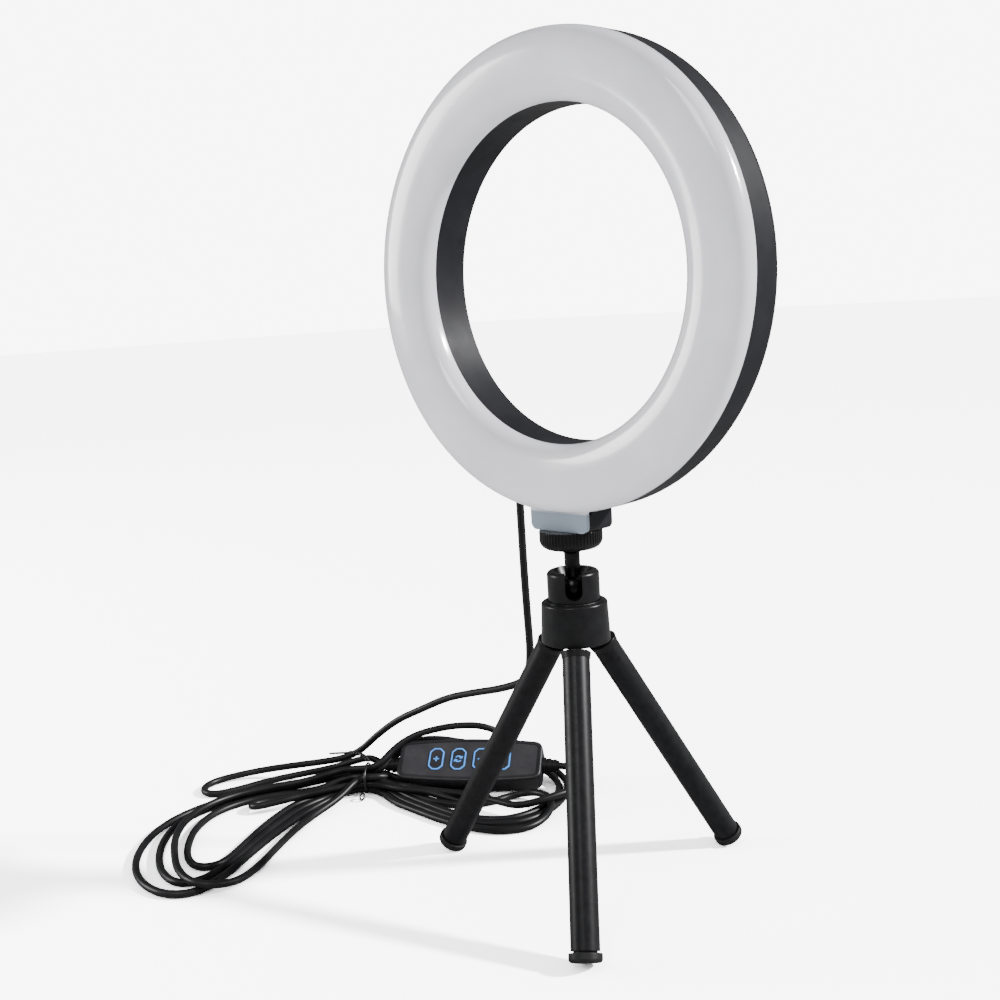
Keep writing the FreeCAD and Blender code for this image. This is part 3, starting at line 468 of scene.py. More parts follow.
@dataclass(frozen=True)
class Paints:
    """Every finish of the light."""
    front: MilkyFront = MilkyFront()
    housing: Moulding = Moulding(
        "housing_black", (0.0065, 0.0065, 0.008), (0.0095, 0.0095, 0.0115), (0.42, 0.52),
        mottle=0.01, wave=0.02, specular=0.12)
    gloss_black: Moulding = Moulding(
        "gloss_black", (0.0035, 0.0035, 0.004), (0.006, 0.006, 0.0065), (0.26, 0.36),
        mottle=0.004, wave=0.02, specular=0.16)
    leg_coat: Moulding = Moulding(
        "leg_satin_coat", (0.003, 0.003, 0.0036), (0.0055, 0.0055, 0.0065), (0.34, 0.44),
        mottle=0.003, grain=0.0003, relief=0.000015, specular=0.16)
    rubber: Moulding = Moulding(
        "foot_rubber", (0.005, 0.005, 0.0055), (0.009, 0.009, 0.0095), (0.42, 0.58),
        grain=0.0003, relief=0.00003, mottle=0.002, specular=0.16)
    jacket: Moulding = Moulding(
        "cord_jacket", (0.0035, 0.0035, 0.004), (0.0065, 0.0065, 0.007), (0.36, 0.46),
        mottle=0.008, grain=0.0005, relief=0.00002, specular=0.2)
    boot: Moulding = Moulding(
        "boot_rubber", (0.004, 0.004, 0.0045), (0.007, 0.007, 0.0075), (0.4, 0.52),
        mottle=0.003, grain=0.0003, relief=0.00002, specular=0.16)
    tie: Moulding = Moulding(
        "tie_plastic", (0.003, 0.003, 0.0035), (0.006, 0.006, 0.0065), (0.26, 0.36),
        mottle=0.003, grain=0.0003, specular=0.4)
    case: ErodedCase = ErodedCase("case_shell", (0.006, 0.006, 0.007), (0.010, 0.010, 0.0115), (0.36, 0.46))
    plate: ErodedCase = ErodedCase(
        "control_plate", (0.015, 0.0145, 0.0165), (0.021, 0.020, 0.0225), (0.38, 0.48),
        pit=0.0003, depth=0.00002, strength=0.35)
    key_cap: ErodedCase = ErodedCase(
        "key_film", (0.012, 0.0115, 0.0135), (0.017, 0.016, 0.019), (0.30, 0.40),
        pit=0.0003, depth=0.00001, strength=0.25)
    ink: Moulding = Moulding(
        "blue_print", (0.03, 0.15, 0.46), (0.05, 0.22, 0.58), (0.35, 0.45),
        mottle=0.0012, grain=0.0002, relief=0.00001)
    pad: Moulding = Moulding(
        "pad_plastic", (0.05, 0.05, 0.052), (0.075, 0.075, 0.078), (0.5, 0.6),
        mottle=0.002)
    board: Moulding = Moulding(
        "white_board", (0.68, 0.69, 0.66), (0.76, 0.77, 0.74), (0.4, 0.5),
        mottle=0.003)
    green_board: Moulding = Moulding(
        "green_board", (0.012, 0.09, 0.035), (0.02, 0.13, 0.05), (0.25, 0.35),
        mottle=0.002)
    cool_chip: Moulding = Moulding(
        "cool_chip", (0.78, 0.76, 0.5), (0.86, 0.84, 0.6), (0.15, 0.25),
        mottle=0.001)
    warm_chip: Moulding = Moulding(
        "warm_chip", (0.78, 0.5, 0.1), (0.86, 0.58, 0.16), (0.15, 0.25),
        mottle=0.001)
    brass: TurnedMetal = TurnedMetal("brass_bush", (0.50, 0.34, 0.12), (0.64, 0.46, 0.19))
    steel: TurnedMetal = TurnedMetal("dark_steel", (0.012, 0.012, 0.013), (0.03, 0.03, 0.031))
    screw: TurnedMetal = TurnedMetal(
        "blackened_screw", (0.02, 0.02, 0.021), (0.045, 0.045, 0.046), (0.25, 0.4))
    nickel: TurnedMetal = TurnedMetal(
        "plug_nickel", (0.55, 0.54, 0.51), (0.68, 0.67, 0.64), (0.16, 0.28), 0.0048)


def dress(node: str, material: bpy.types.Material) -> None:
    """Gives a CAD node a new material in each of its slots.

    Args:
        node: the CAD node's name.
        material: its finish.
    """
    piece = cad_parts[node]
    if not piece.material_slots:
        piece.data.materials.append(material)
    for slot in piece.material_slots:
        slot.material = material
    LOG.info("%s dressed in %s", node, material.name)


# ---- cords

@dataclass
class Jacket:
    """Round cord along one smooth line of given control points, in mm."""
    name: str
    route: list[Point]
    diameter: float = 3.0
    rim_steps: int = 5
    line_steps: int = 8

    def build(self, material: bpy.types.Material) -> bpy.types.Object:
        """Makes the curve, with a round section, in metres.

        Args:
            material: the jacket's finish.

        Returns:
            The curve object, riding on the head.
        """
        curve = bpy.data.curves.new(self.name, "CURVE")
        curve.dimensions = "3D"
        spline = curve.splines.new("NURBS")
        places = np.array([row_place(point) for point in self.route])
        spline.points.add(len(places) - 1)
        spline.points.foreach_set("co", np.hstack([places, np.ones((len(places), 1))]).ravel())
        spline.order_u = 3
        spline.use_endpoint_u = True
        spline.resolution_u = self.line_steps
        spline.use_smooth = True
        curve.bevel_depth = self.diameter / 2 * MM
        curve.bevel_resolution = self.rim_steps
        curve.use_fill_caps = True
        curve.materials.append(material)
        piece = bpy.data.objects.new(self.name, curve)
        bpy.context.scene.collection.objects.link(piece)
        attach(piece, Carrier.HEAD.value)
        LOG.info("%s laid through %d points", self.name, len(self.route))
        return piece


@dataclass
class Cords:
    """The lead from the lamp to the controller, and the long lead from there to its plug, in one tie."""
    lamp_length: float = 0.37
    usb_length: float = 2.15
    diameter: float = 0.003
    tie_middle: tuple[float, float] = (-133.6, 10.1)
    tie_along: tuple[float, float] = (0.966, 0.26)
    case_middle: tuple[float, float] = (-98.9, 40.1)
    case_along: tuple[float, float] = (0.829, 0.559)
    tie_lift: float = 0.9
    tie_reach: float = 7.0

    def at_tie(self, across: float, level: float, along: float = 0.0) -> Point:
        """Point by the tie, raised a little over the tie's wire.

        Args:
            across: mm across the bundle.
            level: mm above the floor.
            along: mm along the bundle.

        Returns:
            The point, in mm from the tripod's axis.
        """
        (x, y), (u, v) = self.tie_middle, self.tie_along
        lift = self.tie_lift * float(np.exp(-(along / self.tie_reach) ** 2))
        return (x - v * across + u * along, y + u * across + v * along, level + lift)

    def by_case(self, along: float, behind: float, level: float) -> Point:
        """Point by the controller, in mm along its long side, behind its middle line and above the floor."""
        (x, y), (u, v) = self.case_middle, self.case_along
        return (x + u * along - v * behind, y + v * along + u * behind, level)

    def lamp_route(self) -> list[Point]:
        """From the back of the ring down beside the ball head, round a small loop, and to the controller.

        Returns:
            Control points, in mm from the tripod's axis.
        """
        return [
            (-37.8, 15.5, 142.8), (-37.6, 15.3, 126.0), (-37.4, 15.2, 108.0), (-37.0, 15.2, 91.0),
            (-36.6, 15.4, 76.0), (-40.5, 17.0, 64.5), (-57.0, 20.0, 57.6), (-78.0, 24.0, 51.2),
            (-97.0, 26.5, 45.0), (-114.0, 27.2, 36.8), (-128.0, 25.0, 30.0), (-138.0, 20.6, 22.0),
            (-145.0, 16.0, 14.4), (-152.5, 11.4, 10.8), (-163.5, 6.0, 8.4), (-175.5, 0.5, 6.0),
            (-188.0, -7.0, 3.6), (-197.0, -18.0, 2.0), (-199.5, -28.0, 1.6), (-195.0, -35.5, 1.6),
            (-186.5, -36.5, 1.6), (-182.0, -27.0, 1.6), (-177.5, -11.5, 2.2), (-168.0, 0.5, 3.8),
            (-154.5, 8.5, 7.2), (-145.0, 13.0, 11.0), (-139.0, 16.2, 12.8), (-134.6, 17.3, 11.8),
            (-131.2, 18.3, 10.1),
        ]

    def out_of_case(self) -> list[Point]:
        """From the controller's far boot round in front of it to the tie.

        Returns:
            Control points, in mm from the tripod's axis.
        """
        t = self.at_tie
        return [
            (-66.7, 61.9, 10.1), (-60.0, 65.8, 9.8), (-53.8, 65.2, 8.8), (-49.0, 58.6, 7.8),
            (-48.4, 49.0, 7.6), (-50.5, 40.0, 7.6), (-54.5, 32.0, 6.4), (-61.0, 27.6, 4.8),
            (-71.0, 27.0, 4.7), (-83.0, 26.0, 4.7), (-95.0, 22.0, 4.7), (-108.0, 17.0, 4.7),
            t(2.6, 4.5, 10), t(3.0, 4.25),
        ]

    def left_loops(self) -> dict[str, list[Point]]:
        """Loops that fan out from the tie towards the front, from the innermost to the one on top.

        Returns:
            Each loop's control points, by its name.
        """
        t = self.at_tie
        return {
            "inner": [
                t(1.0, 3.4, -12), (-152, -8.0, 1.6), (-162.5, -20.5, 1.6), (-168, -34, 1.6),
                (-167.5, -48, 1.6), (-160, -62, 1.6), (-148.5, -73, 1.6), (-136.5, -81, 1.6),
                (-126, -83, 1.6), (-121.0, -75.5, 1.6), (-127.5, -62.5, 1.6), (-135.5, -48, 1.6),
                (-142, -33.5, 1.6), (-146.5, -19.5, 1.6), (-143.5, -6.5, 1.6), t(1.5, 1.6, -2),
            ],
            "middle": [
                t(2.0, 5.2, -14), (-158, -4.5, 3.0), (-167.5, -19, 1.6), (-172.5, -34, 1.6),
                (-174.5, -49, 1.6), (-170.5, -64, 1.6), (-160.5, -77, 1.6), (-147, -87.5, 1.6),
                (-134, -94, 1.6), (-121.5, -96, 1.6), (-115.5, -89.5, 1.6), (-117.5, -78, 1.6),
                (-123, -64.5, 1.6), (-130, -50, 1.6), (-136, -35.5, 1.6), (-141, -21, 1.6),
                (-140.5, -6.5, 1.6), t(-1.5, 1.6, -2),
            ],
            "small": [
                t(-1.6, 5.4, -11), (-149, -9, 2.4), (-153.5, -17.5, 1.7), (-159.5, -25.5, 1.7),
                (-161.0, -34.0, 2.0), (-153.5, -36.0, 3.6), (-147.5, -26, 4.7), (-142.5, -10, 4.7),
                t(-3.0, 4.25),
            ],
            "outer": [
                t(5.2, 4.8, -14), (-159, -1.5, 2.0), (-169.5, -16, 1.6), (-175.5, -32, 1.6),
                (-178, -48, 1.6), (-175.5, -65, 1.6), (-167, -80.5, 1.6), (-154.5, -93, 1.6),
                (-141, -101, 1.6), (-127, -104.5, 1.6), (-115, -103, 1.6), (-108, -94.5, 1.6),
                (-111.5, -81, 1.6), (-118.5, -66, 1.6), (-125.5, -51, 1.6), (-131, -36.5, 1.6),
                (-136, -21, 1.6), (-137, -6, 2.2), t(0.0, 4.25, -2),
            ],
            "top": [
                t(-1.2, 8.6, -14), (-155, -7.5, 5.6), (-165, -20, 4.7), (-170.5, -34, 4.7),
                (-171, -49, 4.7), (-164, -64.5, 4.7), (-152, -76.5, 4.7), (-139, -85, 4.7),
                (-125, -92.5, 4.7), (-111.5, -95.5, 4.8), (-103.0, -90.5, 4.0), (-102.5, -79.5, 2.0),
                (-109.0, -65.5, 1.6), (-117, -51.5, 1.6), (-124.5, -37.5, 1.6), (-130, -23.5, 1.6),
                (-131.5, -8, 3.6), t(-4.4, 7.0, -2),
            ],
        }

    def right_loops(self) -> dict[str, list[Point]]:
        """Loops that run in front of the controller, two of them rising over and behind it.

        Returns:
            Each loop's control points, by its name.
        """
        t, c = self.at_tie, self.by_case
        return {
            "over_low": [
                t(0.8, 1.6, 9), (-112, 9.8, 1.6), (-98, 9, 1.6), (-84, 8.2, 1.6), (-69, 10, 1.6),
                (-57, 16.5, 1.6), (-51.5, 28, 1.6), (-52.5, 42, 1.6), (-57.5, 55, 1.6), (-65, 65.5, 1.8),
                c(33, 16, 4.0), c(22, 18.5, 8.0), c(9, 17, 12.5), c(-5, 14, 15.6), c(-16, 11.4, 18.4),
                c(-25, 9.6, 18.6), c(-33, 6.5, 14.8), t(2.4, 9.0, 5), t(1.5, 6.9, -4),
            ],
            "front_wide": [
                t(-2.2, 1.6, 9), (-112, 5.8, 1.6), (-98, 5.4, 1.6), (-83, 4.6, 1.6), (-67, 6, 1.6),
                (-53.5, 11, 1.6), (-46.5, 21, 1.6), (-47.5, 33, 2.8), (-55, 43.5, 4.7), (-67, 46.5, 3.4),
                (-75.5, 41.5, 1.7), (-77.5, 31, 1.6), (-85, 20.5, 1.6), (-97, 16.2, 1.6),
                (-109, 15.2, 2.2), t(-0.4, 6.0, 9), t(-1.5, 6.9),
            ],
            "front_short": [
                t(-1.6, 4.6, 9), (-113, 12.6, 4.9), (-103, 16.8, 5.0), (-95, 20.0, 3.0),
                (-87.5, 23.5, 1.7), (-81.5, 29, 1.6), (-83.5, 35, 1.6), (-92, 33, 1.6), (-103, 25.6, 1.6),
                (-113, 21, 3.0), t(5.2, 6.8, 9), t(4.4, 7.0),
            ],
            "over_high": [
                t(2.0, 3.6, 9), (-112, 13.4, 1.7), (-98, 12.6, 1.6), (-84, 11.8, 1.6), (-70, 14, 1.6),
                (-60, 20.5, 1.6), (-56, 32, 1.6), (-57, 45, 1.6), (-62, 56, 1.6), (-69.5, 64, 1.8),
                c(29, 12.5, 5), c(22, 14, 12.5), c(13, 12, 20.4), c(4, 9.6, 25.2), c(-7, 8.4, 25.6),
                c(-17, 7.4, 24.2), c(-26, 5.8, 22.0), c(-34, 2.2, 18.0), t(0.6, 11.2, 5), t(0.0, 9.5, -4),
            ],
        }

    def usb_route(self) -> list[Point]:
        """The long lead: out of the controller, through its loops, and under the near boot to its plug.

        Returns:
            Control points, in mm from the tripod's axis.
        """
        t = self.at_tie
        left, right = self.left_loops(), self.right_loops()
        to_plug = [
            t(-3.2, 8.4, 6), t(1.5, 7.4, 8.5), t(8.0, 3.4, 9.5), (-128.5, 26, 1.8), (-134.5, 32, 1.7),
            (-137.2, 38.8, 3.0), (-129, 45.5, 4.1),
        ]
        inside = left["inner"] + right["over_low"] + left["middle"] + right["front_wide"] + left["small"]
        outside = right["front_short"] + left["outer"] + right["over_high"] + left["top"]
        return self.out_of_case() + inside + outside + to_plug

    def build(self, paint: bpy.types.Material) -> None:
        """Args:
            paint: the jacket's finish.
        """
        lamp_route, usb_route = self.lamp_route(), self.usb_route()
        lamp = Jacket("lamp_lead", lamp_route).build(paint)
        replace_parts(lamp, "ring_lead", "controller_lead_in")
        usb = Jacket("usb_lead", usb_route).build(paint)
        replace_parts(usb, "controller_lead_out", "cord_hank", "cord_loops", "plug_lead")


@dataclass
class WireTie:
    """Soft wire tie: a loop round the cords, its two ends twisted together, a folded end and a small eye."""
    middle: Point = (-133.6, 10.1, 6.6)
    along: Point = (0.788, 0.616, 0.0)
    across: Point = (-0.616, 0.788, 0.0)
    half_width: float = 7.1
    half_height: float = 6.1
    wire_r: float = 0.45
    eye_share: float = 0.9
    twist_r: float = 0.5
    twist_turns: float = 4.5
    twist_line: Trio = ((-136.0, 12.6, 13.0), (-142.0, 15.6, 14.6), (-150.0, 13.6, 13.6))
    folded_end: Trio = ((-154.6, 11.9, 12.9), (-4.6, -1.9, -0.6), (0.5, -1.3, 0.4))
    low_eye: Trio = ((-128.2, 1.7, 1.7), (0.7, -1.6, -0.3), (0.3, 0.3, -1.1))
    band_steps: int = 96
    twist_steps: int = 140
    eye_steps: int = 64

    def band(self) -> Grid:
        """Closed loop: middle + half width * cos a across + half height * sin a upwards.

        Returns:
            Its points, in mm, and quads.
        """
        a = np.linspace(0, 2 * np.pi, self.band_steps, endpoint=False)[:, None]
        up = np.array((0, 0, 1.0))
        wide = self.half_width * np.cos(a) * np.array(self.across)
        line = np.array(self.middle) + wide + self.half_height * np.sin(a) * up
        return tube_grid(line, np.full(self.band_steps, self.wire_r), np.array(self.along), 12, True)

    def twist(self, phase: float) -> Grid:
        """One of two wires wound round a bowed line, which is a quadratic in t.

        Args:
            phase: the angle at which it starts, in radians.

        Returns:
            Its points, in mm, and quads.
        """
        t = np.linspace(0, 1, self.twist_steps)[:, None]
        start, knee, end = (np.array(point) for point in self.twist_line)
        core = (1 - t) ** 2 * start + 2 * t * (1 - t) * knee + t ** 2 * end
        ahead = unit(np.gradient(core, axis=0))
        u = unit(np.cross(ahead, (0, 0, 1.0)))
        v = np.cross(u, ahead)
        turn = 2 * np.pi * self.twist_turns * t + phase
        narrowing = np.clip(1.6 - np.abs(t - 0.5) * 1.6, 0.6, 1.0)      # towards both ends
        line = core + self.twist_r * narrowing * (np.cos(turn) * u + np.sin(turn) * v)
        return tube_grid(line, np.full(self.twist_steps, self.wire_r), np.array((0.05, 0.1, 1.0)), 10, False)

    def eye(self, middle: Point, long: Point, short: Point) -> Grid:
        """Closed eye of bent wire, an oval.

        Args:
            middle: its middle, in mm.
            long: its long half axis, as a direction with a length in mm.
            short: its short half axis, the same way.

        Returns:
            Its points, in mm, and quads.
        """
        a = np.linspace(0, 2 * np.pi, self.eye_steps, endpoint=False)[:, None]
        line = np.array(middle) + np.cos(a) * np.array(long) + np.sin(a) * np.array(short)
        flat = np.cross(np.array(long), np.array(short))
        radius = np.full(self.eye_steps, self.wire_r * self.eye_share)
        return tube_grid(line, radius, flat / np.linalg.norm(flat), 10, True)

    def build(self, paint: bpy.types.Material) -> None:
        """Joins the wires in one piece that stands for the CAD loop.

        Args:
            paint: the wire's finish.
        """
        twists = [self.twist(0.0), self.twist(np.pi)]
        points, quads = joined([self.band(), *twists, self.eye(*self.folded_end), self.eye(*self.low_eye)])
        points[:, 1] += AXIS_SHIFT
        tie = put_mesh("wire_tie", points * MM, quads)
        tie.data.materials.append(paint)
        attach(tie, Carrier.HEAD.value)
        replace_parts(tie, "twist_tie")
        LOG.info("wire_tie built")


# ---- controller

@dataclass
class Controller:
    """In-line push-button controller, leaning forward on the floor; sizes in mm, angles in degrees."""
    width: float = 22.0
    height: float = 9.5
    tilt: float = 35.0
    heading: float = 34.0
    middle: tuple[float, float] = (-98.9, 40.1)
    floor_gap: float = 0.05
    key_pitch: float = 9.85
    key_top: float = 9.6
    ink: float = 0.08
    ink_root: float = 0.03
    line: float = 0.62
    frame_width: float = 5.9
    frame_length: float = 10.4
    frame_corner: float = 1.7
    frame_round: float = 0.35
    frame_root: float = 0.25
    frame_rise: float = 0.1
    bar: float = 1.25
    power_r: float = 1.35
    power_bar: Span = (0.35, 1.75)
    cycle_r: float = 1.4
    arrow_back: float = 0.9
    arrow_side: float = 0.75
    arrow_ahead: float = 0.25
    icons: dict[Icon, Carrier] = field(default_factory=lambda: {
        Icon.PLUS: Carrier.BRIGHTER, Icon.CYCLE: Carrier.MODE,
        Icon.MINUS: Carrier.DIMMER, Icon.POWER: Carrier.POWER})

    def placed(self, points: np.ndarray) -> np.ndarray:
        """Leans points forward, turns them and puts them on the floor: a turn about X, then one about Z.

        Args:
            points: N by 3 local points in mm, face up.

        Returns:
            The points in metres of the row frame.
        """
        a, h = np.radians(self.tilt), np.radians(self.heading)
        back = self.width / 2 * np.cos(a) - self.height / 2 * np.sin(a)
        y, z = points[:, 1] + self.width / 2, points[:, 2]
        y, z = y * np.cos(a) - z * np.sin(a) - back, y * np.sin(a) + z * np.cos(a) + self.floor_gap
        x = points[:, 0] * np.cos(h) - y * np.sin(h) + self.middle[0]
        y = points[:, 0] * np.sin(h) + y * np.cos(h) + self.middle[1] + AXIS_SHIFT
        return np.stack([x, y, z], axis=1) * MM

    def strokes(self, icon: Icon) -> list[np.ndarray]:
        """Lines of one sign: bars are straight, and arcs are points of a circle.

        Args:
            icon: the sign.

        Returns:
            The lines, each N by 2 in mm about its key's middle.
        """
        bar = np.linspace(-self.bar, self.bar, 5)[:, None]
        level, upright = bar * np.array([1.0, 0.0]), bar * np.array([0.0, 1.0])

        def arc(first: float, last: float, radius: float) -> np.ndarray:
            """Points of an arc between two angles in degrees."""
            a = np.radians(np.linspace(first, last, 28))
            return radius * np.stack([np.cos(a), np.sin(a)], axis=1)

        if icon is Icon.PLUS:
            return [level, upright]
        if icon is Icon.MINUS:
            return [level]
        if icon is Icon.POWER:
            low, high = self.power_bar
            return [arc(125, 415, self.power_r), np.array([[0.0, low], [0.0, 1.0], [0.0, high]])]
        ends = [arc(20, 150, self.cycle_r), arc(200, 330, self.cycle_r)]
        heads = []
        for line in ends:
            tip, way = line[0], unit(line[0] - line[3])
            side = np.array([-way[1], way[0]]) * self.arrow_side
            root = tip - way * self.arrow_back
            heads.append(np.stack([root + side, tip, root - side]) + way * self.arrow_ahead)
        return ends + heads

    def outline(self) -> np.ndarray:
        """Closed long octagon, clockwise from the left, whose corners are quadratic arcs of a short reach.

        Returns:
            Its line, N by 2 in mm about its key's middle, with the first point again at the end.
        """
        w, h, c = self.frame_width / 2, self.frame_length / 2, self.frame_corner
        half = np.array([(-w, h - c), (-w + c, h), (w - c, h), (w, h - c)])
        ring = np.concatenate([half, -half])
        before, after = np.roll(ring, 1, axis=0), np.roll(ring, -1, axis=0)
        start = ring + unit(before - ring) * self.frame_round
        end = ring + unit(after - ring) * self.frame_round
        t = np.linspace(0, 1, 6)[None, :, None]
        arcs = (1 - t) ** 2 * start[:, None] + 2 * t * (1 - t) * ring[:, None] + t ** 2 * end[:, None]
        line = arcs.reshape(-1, 2)
        return np.concatenate([line, line[:1]])

    def printed(self, name: str, grids: Sequence[Grid], carrier: Carrier,
                paint: bpy.types.Material) -> bpy.types.Object:
        """Puts printed strokes on the controller's face.

        Args:
            name: the piece's name.
            grids: the strokes, local and in mm.
            carrier: the body that it rides on.
            paint: the ink.

        Returns:
            The new piece.
        """
        points, quads = joined(grids)
        piece = put_mesh(name, self.placed(points), quads, smooth=False)
        piece.data.materials.append(paint)
        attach(piece, carrier.value)
        LOG.info("%s printed on %s", name, carrier.value)
        return piece

    def build(self, paint: bpy.types.Material) -> None:
        """Prints one sign on each key, which moves with the key, and the outlines round the keys.

        Args:
            paint: the ink.
        """
        middles = [self.key_pitch * (number - 1.5) for number in range(len(self.icons))]
        frames = []
        for x in middles:
            points, quads = stroke_grid(
                self.outline(), self.line, self.key_top - self.frame_root, self.key_top + self.frame_rise)
            frames.append((points + np.array([x, 0, 0]), quads))
        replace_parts(self.printed("key_outlines", frames, Carrier.HEAD, paint), "button_frames")
        low, high = self.key_top - self.ink_root, self.key_top + self.ink
        for x, (icon, carrier) in zip(middles, self.icons.items()):
            signs = []
            for line in self.strokes(icon):
                points, quads = stroke_grid(line, self.line, low, high)
                signs.append((points + np.array([x, 0, 0]), quads))
            self.printed(f"sign_{icon.value}", signs, carrier, paint)

    def dress(self, paints: Paints) -> None:
        """Finishes the case, its plate, keys, inner board, boots and plug body.

        Args:
            paints: the light's finishes.
        """
        case, key = paints.case.make(), paints.key_cap.make()
        for node in ("controller_top", "controller_base", "plug_body"):
            dress(node, case)
        dress("controller_overlay", paints.plate.make())
        dress("controller_board", paints.green_board.make())
        for carrier in self.icons.values():
            dress(carrier.value, key)
        boot = paints.boot.make()
        for node in ("boot_in", "boot_out", "lead_gland"):
            dress(node, boot)


# ---- lamp and tripod

@dataclass
class RingHead:
    """Lamp ring: milky front, dark housing, and the light board inside it."""

    def dress(self, paints: Paints) -> None:
        """Finishes the ring's pieces.

        Args:
            paints: the light's finishes.
        """
        dress("diffuser", paints.front.make())
        dress("rear_housing", paints.housing.make())
        dress("led_board", paints.board.make())
        dress("cool_leds", paints.cool_chip.make())
        dress("warm_leds", paints.warm_chip.make())
        dress("tripod_insert", paints.brass.make())


@dataclass
class Stand:
    """Ball head and folding tripod."""
    legs: tuple[str, ...] = ("front", "right", "left")

    def dress(self, paints: Paints) -> None:
        """Finishes the ball head's shells and pad, the hub, the legs and the feet.

        Args:
            paints: the light's finishes.
        """
        gloss, tube, rubber = paints.gloss_black.make(), paints.leg_coat.make(), paints.rubber.make()
        for node in ("knurled_knob", "ball_socket", "leg_hub"):
            dress(node, gloss)
        dress("ball_pad", paints.pad.make())
        for leg in self.legs:
            dress(f"leg_top_{leg}", gloss)
            dress(f"leg_tube_{leg}", tube)
            dress(f"foot_{leg}", rubber)


@dataclass
class Metalwork:
    """Screws, pins, rivets, the ball stud, the key switches and the plug's contacts."""
    steel_nodes: tuple[str, ...] = ("ball_stud", "key_switches")
    screw_nodes: tuple[str, ...] = ("leg_pins", "housing_screws", "controller_screws",
                                    "leg_rivet_front", "leg_rivet_right", "leg_rivet_left")

    def dress(self, paints: Paints) -> None:
        """Finishes the metal pieces and the plug's tongue.

        Args:
            paints: the light's finishes.
        """
        screw, steel = paints.screw.make(), paints.steel.make()
        for node in self.steel_nodes:
            dress(node, steel)
        for node in self.screw_nodes:
            dress(node, screw)
        dress("plug_shell", paints.nickel.make())
        dress("plug_tongue", paints.board.make())


# ---- camera, floor and light

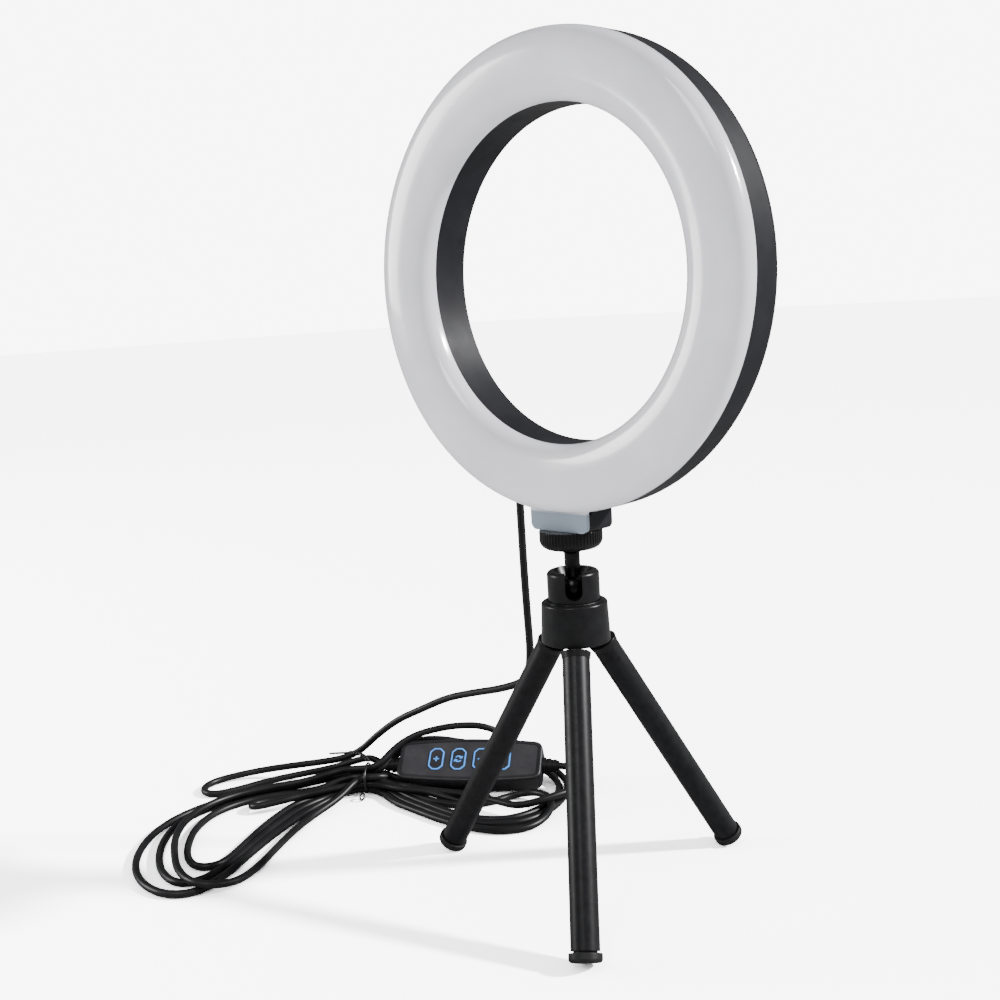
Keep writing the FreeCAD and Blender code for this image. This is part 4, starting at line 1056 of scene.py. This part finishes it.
@dataclass
class Studio:
    """Pale floor, soft light and the camera; places in metres, angles in degrees."""
    eye: Point = (0.2842, -0.33417, 0.2087)
    yaw: float = 43.917
    pitch: float = 8.749
    roll: float = 3.424
    lens: float = 45.70
    sensor: float = 36.0
    clip: Span = (0.01, 60.0)
    ambient: float = 1.15
    seen_in_gloss: float = 0.2
    backdrop: float = 8.0
    floor_half: float = 12.0
    floor_level: float = -0.00005
    floor_mottle: float = 0.4
    floor_shade: float = 0.995
    floor_colour: Colour = (0.90, 0.90, 0.90)
    floor_in_gloss: Colour = (0.16, 0.16, 0.16)
    floor_seen: Colour = (2.4, 2.4, 2.4)
    sun_from: Point = (0.69, 0.50, 0.53)
    sun_power: float = 10.0
    sun_spread: float = 0.08
    aim: Point = (0, 0, 0.15)

    def camera(self) -> None:
        """Places the camera: yaw and pitch give its look direction, and roll turns it about that."""
        yaw, pitch, roll = np.radians([self.yaw, self.pitch, self.roll])
        right = np.array([np.cos(yaw), np.sin(yaw), 0.0])
        look = np.array([-np.sin(yaw) * np.cos(pitch), np.cos(yaw) * np.cos(pitch), -np.sin(pitch)])
        up = np.cross(right, look)
        x, y = np.cos(roll) * right - np.sin(roll) * up, np.sin(roll) * right + np.cos(roll) * up
        data = bpy.data.cameras.new("camera")
        data.lens, data.sensor_width = self.lens, self.sensor
        data.clip_start, data.clip_end = self.clip
        camera = bpy.data.objects.new("camera", data)
        bpy.context.scene.collection.objects.link(camera)
        rows = np.eye(4)
        rows[:3, 0], rows[:3, 1], rows[:3, 2], rows[:3, 3] = x, y, -look, self.eye
        camera.matrix_world = Matrix(rows.tolist())
        bpy.context.scene.camera = camera
        LOG.info("camera placed")

    def floor(self) -> None:
        """Lays a wide pale floor just under the feet."""
        h, z = self.floor_half, self.floor_level
        points = np.array([[-h, -h, z], [h, -h, z], [h, h, z], [-h, h, z]])
        floor = put_mesh("floor", points, np.array([[0, 1, 2, 3]]), smooth=False)
        coat = Coat("pale_floor")
        shaded = tuple(part * self.floor_shade for part in self.floor_colour)
        usual = coat.blended(coat.noise(self.floor_mottle, 2), shaded, self.floor_colour)
        colour = coat.by_ray(MixKind.COLOUR, usual, opaque(self.floor_in_gloss), opaque(self.floor_seen))
        coat.set(Base_Color=colour, Roughness=0.9, Specular_IOR_Level=0.1)
        floor.data.materials.append(coat.material)

    def lamp(self, name: str, place: Point, size: float, watts: float) -> None:
        """Square soft light aimed at the middle of the object.

        Args:
            name: the light's name.
            place: where it stands.
            size: its side.
            watts: its power.
        """
        data = bpy.data.lights.new(name, "AREA")
        data.shape, data.size, data.energy = "SQUARE", size, watts
        light = bpy.data.objects.new(name, data)
        bpy.context.scene.collection.objects.link(light)
        light.location = place
        light.rotation_euler = (Vector(self.aim) - Vector(place)).to_track_quat("-Z", "Y").to_euler()

    def light(self) -> None:
        """White surroundings, a key light from behind on the right, and soft lights in front and left."""
        world = bpy.data.worlds.new("studio")
        world.use_nodes = True
        bench = Bench(world.node_tree)
        sky = bench.tree.nodes["Background"]
        bench.feed(sky.inputs["Color"], opaque((1.0, 1.0, 1.0)))
        level = bench.by_ray(MixKind.NUMBER, self.ambient, self.seen_in_gloss, self.backdrop)
        bench.feed(sky.inputs["Strength"], level)
        bpy.context.scene.world = world
        data = bpy.data.lights.new("key_light", "SUN")
        data.energy, data.angle = self.sun_power, self.sun_spread
        key = bpy.data.objects.new("key_light", data)
        bpy.context.scene.collection.objects.link(key)
        key.rotation_euler = Vector(self.sun_from).to_track_quat("Z", "Y").to_euler()
        self.lamp("fill_light", (0.45, -1.35, 1.5), 0.7, 16.0)
        self.lamp("left_light", (-1.3, -0.9, 0.5), 0.6, 22.0)
        LOG.info("studio lit")


def main() -> None:
    """Builds the light in order: camera, cords and tie, floor and lights, printed signs, and every finish."""
    logging.basicConfig(level=logging.INFO, format="%(name)s: %(message)s")
    paints = Paints()
    studio = Studio()
    studio.camera()
    Cords().build(paints.jacket.make())
    WireTie().build(paints.tie.make())
    studio.floor()
    studio.light()
    controller = Controller()
    ink = paints.ink.make()
    controller.build(ink)
    controller.dress(paints)
    RingHead().dress(paints)
    Stand().dress(paints)
    Metalwork().dress(paints)


if __name__ == "__main__":
    main()
